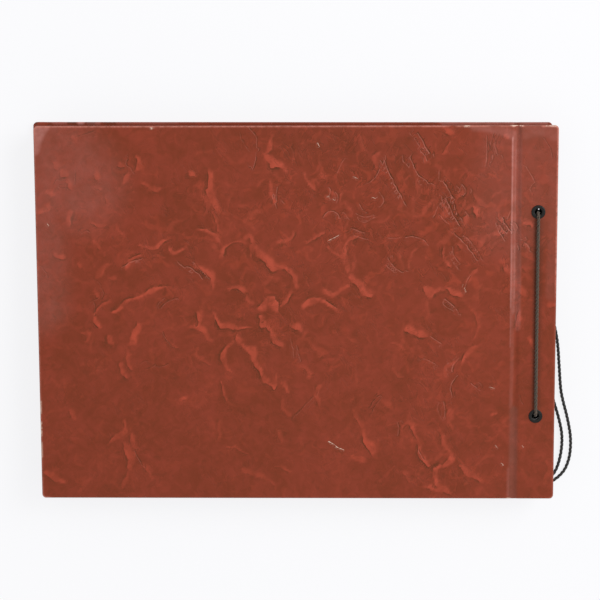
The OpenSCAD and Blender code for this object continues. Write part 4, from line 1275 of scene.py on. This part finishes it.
def lacing_path(cord):
    """The cord's way through the holes: out of the knot along the front strip, round a quarter
    bend, up through the album, round another and along the back strip, where it sags a little."""
    radius = cord.thickness / 2
    front_z, back_z = LACING_LO.z + radius, LACING_HI.z - radius
    bend = 2.5 * MM
    start_y = HOLE_Y - cord.lean - bend
    knot_y = (KNOT_HI.x - KNOT_LO.x) / 2 - radius
    turn = np.linspace(0, PI / 2, 9)
    first = np.stack([start_y + bend * np.sin(turn), front_z + bend - bend * np.cos(turn)], -1)
    second = np.stack([start_y + bend * np.cos(turn), back_z - bend + bend * np.sin(turn)], -1)
    across = np.linspace(1, 0, 25)[1:] * start_y
    sag = 0.55 * MM * fade(start_y - across, 1.5 * MM, 16 * MM)
    half = np.concatenate([[[knot_y, front_z]], first, second, np.stack([across, back_z - sag], -1)])
    whole = np.concatenate([half, half[::-1][1:] * [-1, 1]])
    return evened(np.column_stack([np.full(len(whole), HOLE_X), whole]), CORD_STEP)


def knot_path(cord):
    """An overhand knot pulled flat: a trefoil, (sin t + 2 sin 2t, cos t - 2 cos 2t) across and
    sin 3t up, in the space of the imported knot."""
    radius = cord.thickness / 2
    t = np.arange(96) / 96 * 2 * PI
    across = ((KNOT_HI.x - KNOT_LO.x) / 2 - radius) / 3
    up = (KNOT_HI.z - KNOT_LO.z) / 2 - radius
    x = HOLE_X + across * (np.sin(t) + 2 * np.sin(2 * t))
    y = across * (np.cos(t) - 2 * np.cos(2 * t))
    return np.stack([x, y, (KNOT_LO.z + KNOT_HI.z) / 2 - up * np.sin(3 * t)], -1)


def ground_path(cord, route):
    """A route of plan points in millimetres, lying on the surface under the album."""
    flat = np.asarray(route, float) * MM
    return smooth_path(np.column_stack([flat, np.full(len(flat), cord.lie)]), CORD_STEP)


# A tag's crimped outline, as shares of its radius and of its length.
TAG_PROFILE = [
    (0, 0), (0.86, 0), (1, 0.015), (1, 0.13), (0.87, 0.155), (0.87, 0.185), (1, 0.21), (1, 0.3),
    (0.87, 0.325), (0.87, 0.355), (1, 0.38), (1, 0.72), (0.93, 0.76), (0.88, 0.88), (0.66, 0.955),
    (0.36, 0.99), (0, 1)]

# An eyelet's barrel and clinched end, in millimetres: radius, and height over the board's inner face.
CLINCH = [(3.0, 0.45), (3.2, 0.40), (3.95, 0.38), (4.3, 0.22), (4.0, 0.04), (3.4, 0), (2.9, 0.05),
          (2.6, 0.35)]


def metal_tag(name, cord, path, finish):
    """A crimped tag that carries on from the end of a path: a profile of radii along it, turned."""
    low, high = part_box(name)
    radius, reach = cord.tag / 2, high.y - low.y - 0.05 * MM
    points, faces = turned([(r * radius, h * reach) for r, h in TAG_PROFILE], 24, ring=False)
    ahead = path[-1] - path[-4]
    ahead /= np.linalg.norm(ahead)
    turn = np.stack([np.cross(ahead, UP), UP, ahead])
    piece = new_piece(name + "_tip", points @ turn + path[-1], faces, finish)
    bind(piece, name)
    return piece


def eyelet(node, cord, base, way):
    """One eyelet as a turned ring: domed flange with a rolled lip, barrel and clinched end. The
    dome is a superellipse, (1 - |t|^2.6)^0.55 high across the flange. Way is 1 for an eyelet that
    faces up from its base, and -1 for one that faces down."""
    low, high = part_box(node)
    flange, bore, tube = (high.x - low.x) / 2, 2.6 * MM, 3.0 * MM
    rise = (high.z - low.z) - COVER_T
    middle, half = (flange + bore) / 2, (flange - bore) / 2
    dome = [(middle + half * math.sin(t * PI / 2), rise * (1 - abs(t) ** 2.6) ** 0.55)
            for t in np.linspace(-1, 1, 17)]
    clinch = [(radius * MM, height * MM - COVER_T) for radius, height in CLINCH]
    profile = [(bore, -0.25 * MM), *dome, (flange - 0.12 * MM, 0.0), (tube, 0.0), *clinch]
    points, faces = turned(profile, 64, ring=True)
    crown = fade(points[:, 2], 0.2 * MM, 0.5 * MM)
    points = points * [1, 1, way] + [(low.x + high.x) / 2, (low.y + high.y) / 2, base]
    finish = finish_of("eyelet_enamel", enamel, cord)
    bind(new_piece(node + "_ring", points, faces, finish, {"crown": crown}), node)


def cover_with(finish, *nodes):
    """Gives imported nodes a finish."""
    for node in nodes:
        piece = frame["nodes"][node]
        if not piece.material_slots:
            piece.data.materials.append(finish)
        for place in piece.material_slots:
            place.material = finish


class ALBUM_OT_stage(Operator):
    """Add the camera, the pale floor and the soft light"""
    bl_idname = "album.stage"
    bl_label = "Stage"

    def execute(self, context):
        scene, stage = context.scene, context.scene.album_stage
        view = bpy.data.cameras.new("camera")
        view.lens, view.sensor_width = stage.lens, 36
        view.clip_start, view.clip_end = 0.01, 100
        camera = link("camera", view)
        camera.location = (stage.camera_x, stage.camera_y, stage.camera_z)
        camera.rotation_euler = (stage.tilt, stage.pan, stage.roll)
        scene.camera = camera
        reach, z = FLOOR_REACH, FLOOR_Z
        mesh = bpy.data.meshes.new("floor")
        mesh.from_pydata([(-reach, -reach, z), (reach, -reach, z), (reach, reach, z), (-reach, reach, z)],
                         [], [(0, 1, 2, 3)])
        mesh.materials.append(Finish("pale_floor").done(
            stage.floor, 0.9, 0.1, None, Emission_Color=FLOOR_GLOW, Emission_Strength=stage.glow))
        link("floor", mesh)
        scene.world = bpy.data.worlds.new("soft_sky")
        scene.world.use_nodes = True
        sky = scene.world.node_tree.nodes["Background"]
        sky.inputs["Color"].default_value = (1.0, 1.0, 1.0, 1.0)
        sky.inputs["Strength"].default_value = stage.sky
        lamp = bpy.data.lights.new("key", "AREA")
        lamp.shape, lamp.size, lamp.size_y = "RECTANGLE", KEY_SIZE, KEY_SIZE
        lamp.energy = stage.key
        key = link("key", lamp)
        key.location = KEY_PLACE
        x, y, z = np.array(KEY_PLACE) / np.linalg.norm(KEY_PLACE)
        key.rotation_euler = (math.acos(z), 0, math.atan2(y, x) + PI / 2)
        scene.view_settings.view_transform = "Standard"
        return {"FINISHED"}


class ALBUM_OT_cord(Operator):
    """Lace the album and tie the cord, with its two tagged ends and the two loops of its bow"""
    bl_idname = "album.cord"
    bl_label = "Cord"

    def execute(self, context):
        cord = context.scene.album_cord
        fresh = finish_of("cord", yarn, cord, "cord", cord.yarn, 0.55)
        for name, route in ROUTES.items():
            path = ground_path(cord, route)
            piece = twisted_cord(name + "_cord", cord, path, fresh)
            bind(piece, name)
            if name.startswith("tail"):
                metal = finish_of("tag_metal", tag_metal, cord)
                metal_tag(name.replace("tail", "tag"), cord, path, metal)
        bind(twisted_cord("bow_knot_cord", cord, knot_path(cord), fresh, closed=True), "bow_knot")
        faded = finish_of("faded_cord", yarn, cord, "faded_cord", cord.faded, 0.7)
        bind(twisted_cord("lacing_cord", cord, lacing_path(cord), faded), "lacing")
        return {"FINISHED"}


class ALBUM_OT_back_cover(Operator):
    """Cover the boards of the back cover and its strip with one sheet of crushed paper"""
    bl_idname = "album.back_cover"
    bl_label = "Back cover"

    def execute(self, context):
        covers = context.scene.album_covers
        piece = covering("back_cover_paper", covers, turn_over=False, seed=7, folds=BACK_FOLDS,
                         hairlines=BACK_HAIRLINES, wear=BACK_WEAR_AND_LIGHT)
        cross_fold(piece, TOP_Z)
        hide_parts("back_covering", "back_strip_covering")
        return {"FINISHED"}


class ALBUM_OT_front_cover(Operator):
    """Cover the boards of the front cover and its strip in the same way"""
    bl_idname = "album.front_cover"
    bl_label = "Front cover"

    def execute(self, context):
        covers = context.scene.album_covers
        piece = covering("front_cover_paper", covers, turn_over=True, seed=19, folds=FRONT_FOLDS,
                         hairlines=[], wear=FRONT_WEAR_AND_LIGHT)
        cross_fold(piece, FRONT_Z)
        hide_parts("front_covering", "front_strip_covering")
        return {"FINISHED"}


class ALBUM_OT_hinge_cloths(Operator):
    """Line the two grooves with cloth"""
    bl_idname = "album.hinge_cloths"
    bl_label = "Hinge cloths"

    def execute(self, context):
        covers = context.scene.album_covers
        back = valley_strip("back_hinge_cloth", covers, turn_over=False)
        cross_fold(back, TOP_Z)
        front = valley_strip("front_hinge_cloth", covers, turn_over=True)
        cross_fold(front, FRONT_Z)
        return {"FINISHED"}


class ALBUM_OT_boards(Operator):
    """Give the boards, the linings and the guard strips their board and paper"""
    bl_idname = "album.boards"
    bl_label = "Boards and linings"

    def execute(self, context):
        covers, leaves = context.scene.album_covers, context.scene.album_leaves
        cover_with(pasteboard(covers), "back_board", "back_strip_board", "front_board", "front_strip_board")
        lining = plain_paper("lining_paper", covers.lining, (0.10, 0.09, 0.08), 900)
        cover_with(lining, "back_lining", "back_strip_lining", "front_lining", "front_strip_lining")
        cover_with(plain_paper("guard_paper", leaves.guard, leaves.fibre, 1300), "guard_strips")
        return {"FINISHED"}


class ALBUM_OT_eyelets(Operator):
    """Set the four enamelled eyelets"""
    bl_idname = "album.eyelets"
    bl_label = "Eyelets"

    def execute(self, context):
        for place in ("upper", "lower"):
            eyelet("back_eyelet_" + place, context.scene.album_cord, TOP_Z, way=1)
            eyelet("front_eyelet_" + place, context.scene.album_cord, FRONT_Z, way=-1)
        return {"FINISHED"}


class ALBUM_OT_leaves(Operator):
    """Lay in the leaves, each one sheet with its laced margin"""
    bl_idname = "album.leaves"
    bl_label = "Leaves"

    def execute(self, context):
        random = np.random.default_rng(3)
        nodes = (node for node in frame["nodes"] if node.startswith("leaf_") and node[5:].isdigit())
        for name in sorted(nodes):
            leaf_sheet(name, context.scene.album_leaves, random)
        return {"FINISHED"}


class ALBUM_PT_panel(Panel):
    """Lists the album's steps"""
    bl_idname = "ALBUM_PT_panel"
    bl_label = "Photo album"
    bl_space_type = "VIEW_3D"
    bl_region_type = "UI"
    bl_category = "Album"

    def draw(self, context):
        for step in OPERATORS:
            self.layout.operator(step.bl_idname)
        for group in GROUPS:
            box = self.layout.box()
            values = getattr(context.scene, group)
            for key in values.bl_rna.properties.keys():
                if key not in ("rna_type", "name"):
                    box.prop(values, key)


GROUPS = {"album_covers": AlbumCovers, "album_cord": AlbumCord, "album_leaves": AlbumLeaves,
          "album_stage": AlbumStage}
OPERATORS = (ALBUM_OT_stage, ALBUM_OT_cord, ALBUM_OT_back_cover, ALBUM_OT_front_cover, ALBUM_OT_hinge_cloths,
             ALBUM_OT_boards, ALBUM_OT_eyelets, ALBUM_OT_leaves)


def register():
    """Registers the classes and gives the scene its settings."""
    for kind in (*GROUPS.values(), *OPERATORS, ALBUM_PT_panel):
        bpy.utils.register_class(kind)
    for name, kind in GROUPS.items():
        setattr(bpy.types.Scene, name, PointerProperty(type=kind))


def unregister():
    """Takes away what register adds."""
    for name in GROUPS:
        delattr(bpy.types.Scene, name)
    for kind in reversed((*GROUPS.values(), *OPERATORS, ALBUM_PT_panel)):
        bpy.utils.unregister_class(kind)


def main():
    """Makes every piece in order."""
    register()
    bpy.ops.album.stage()
    bpy.ops.album.cord()
    bpy.ops.album.back_cover()
    bpy.ops.album.front_cover()
    bpy.ops.album.hinge_cloths()
    bpy.ops.album.boards()
    bpy.ops.album.eyelets()
    bpy.ops.album.leaves()


if __name__ == "__main__":
    main()
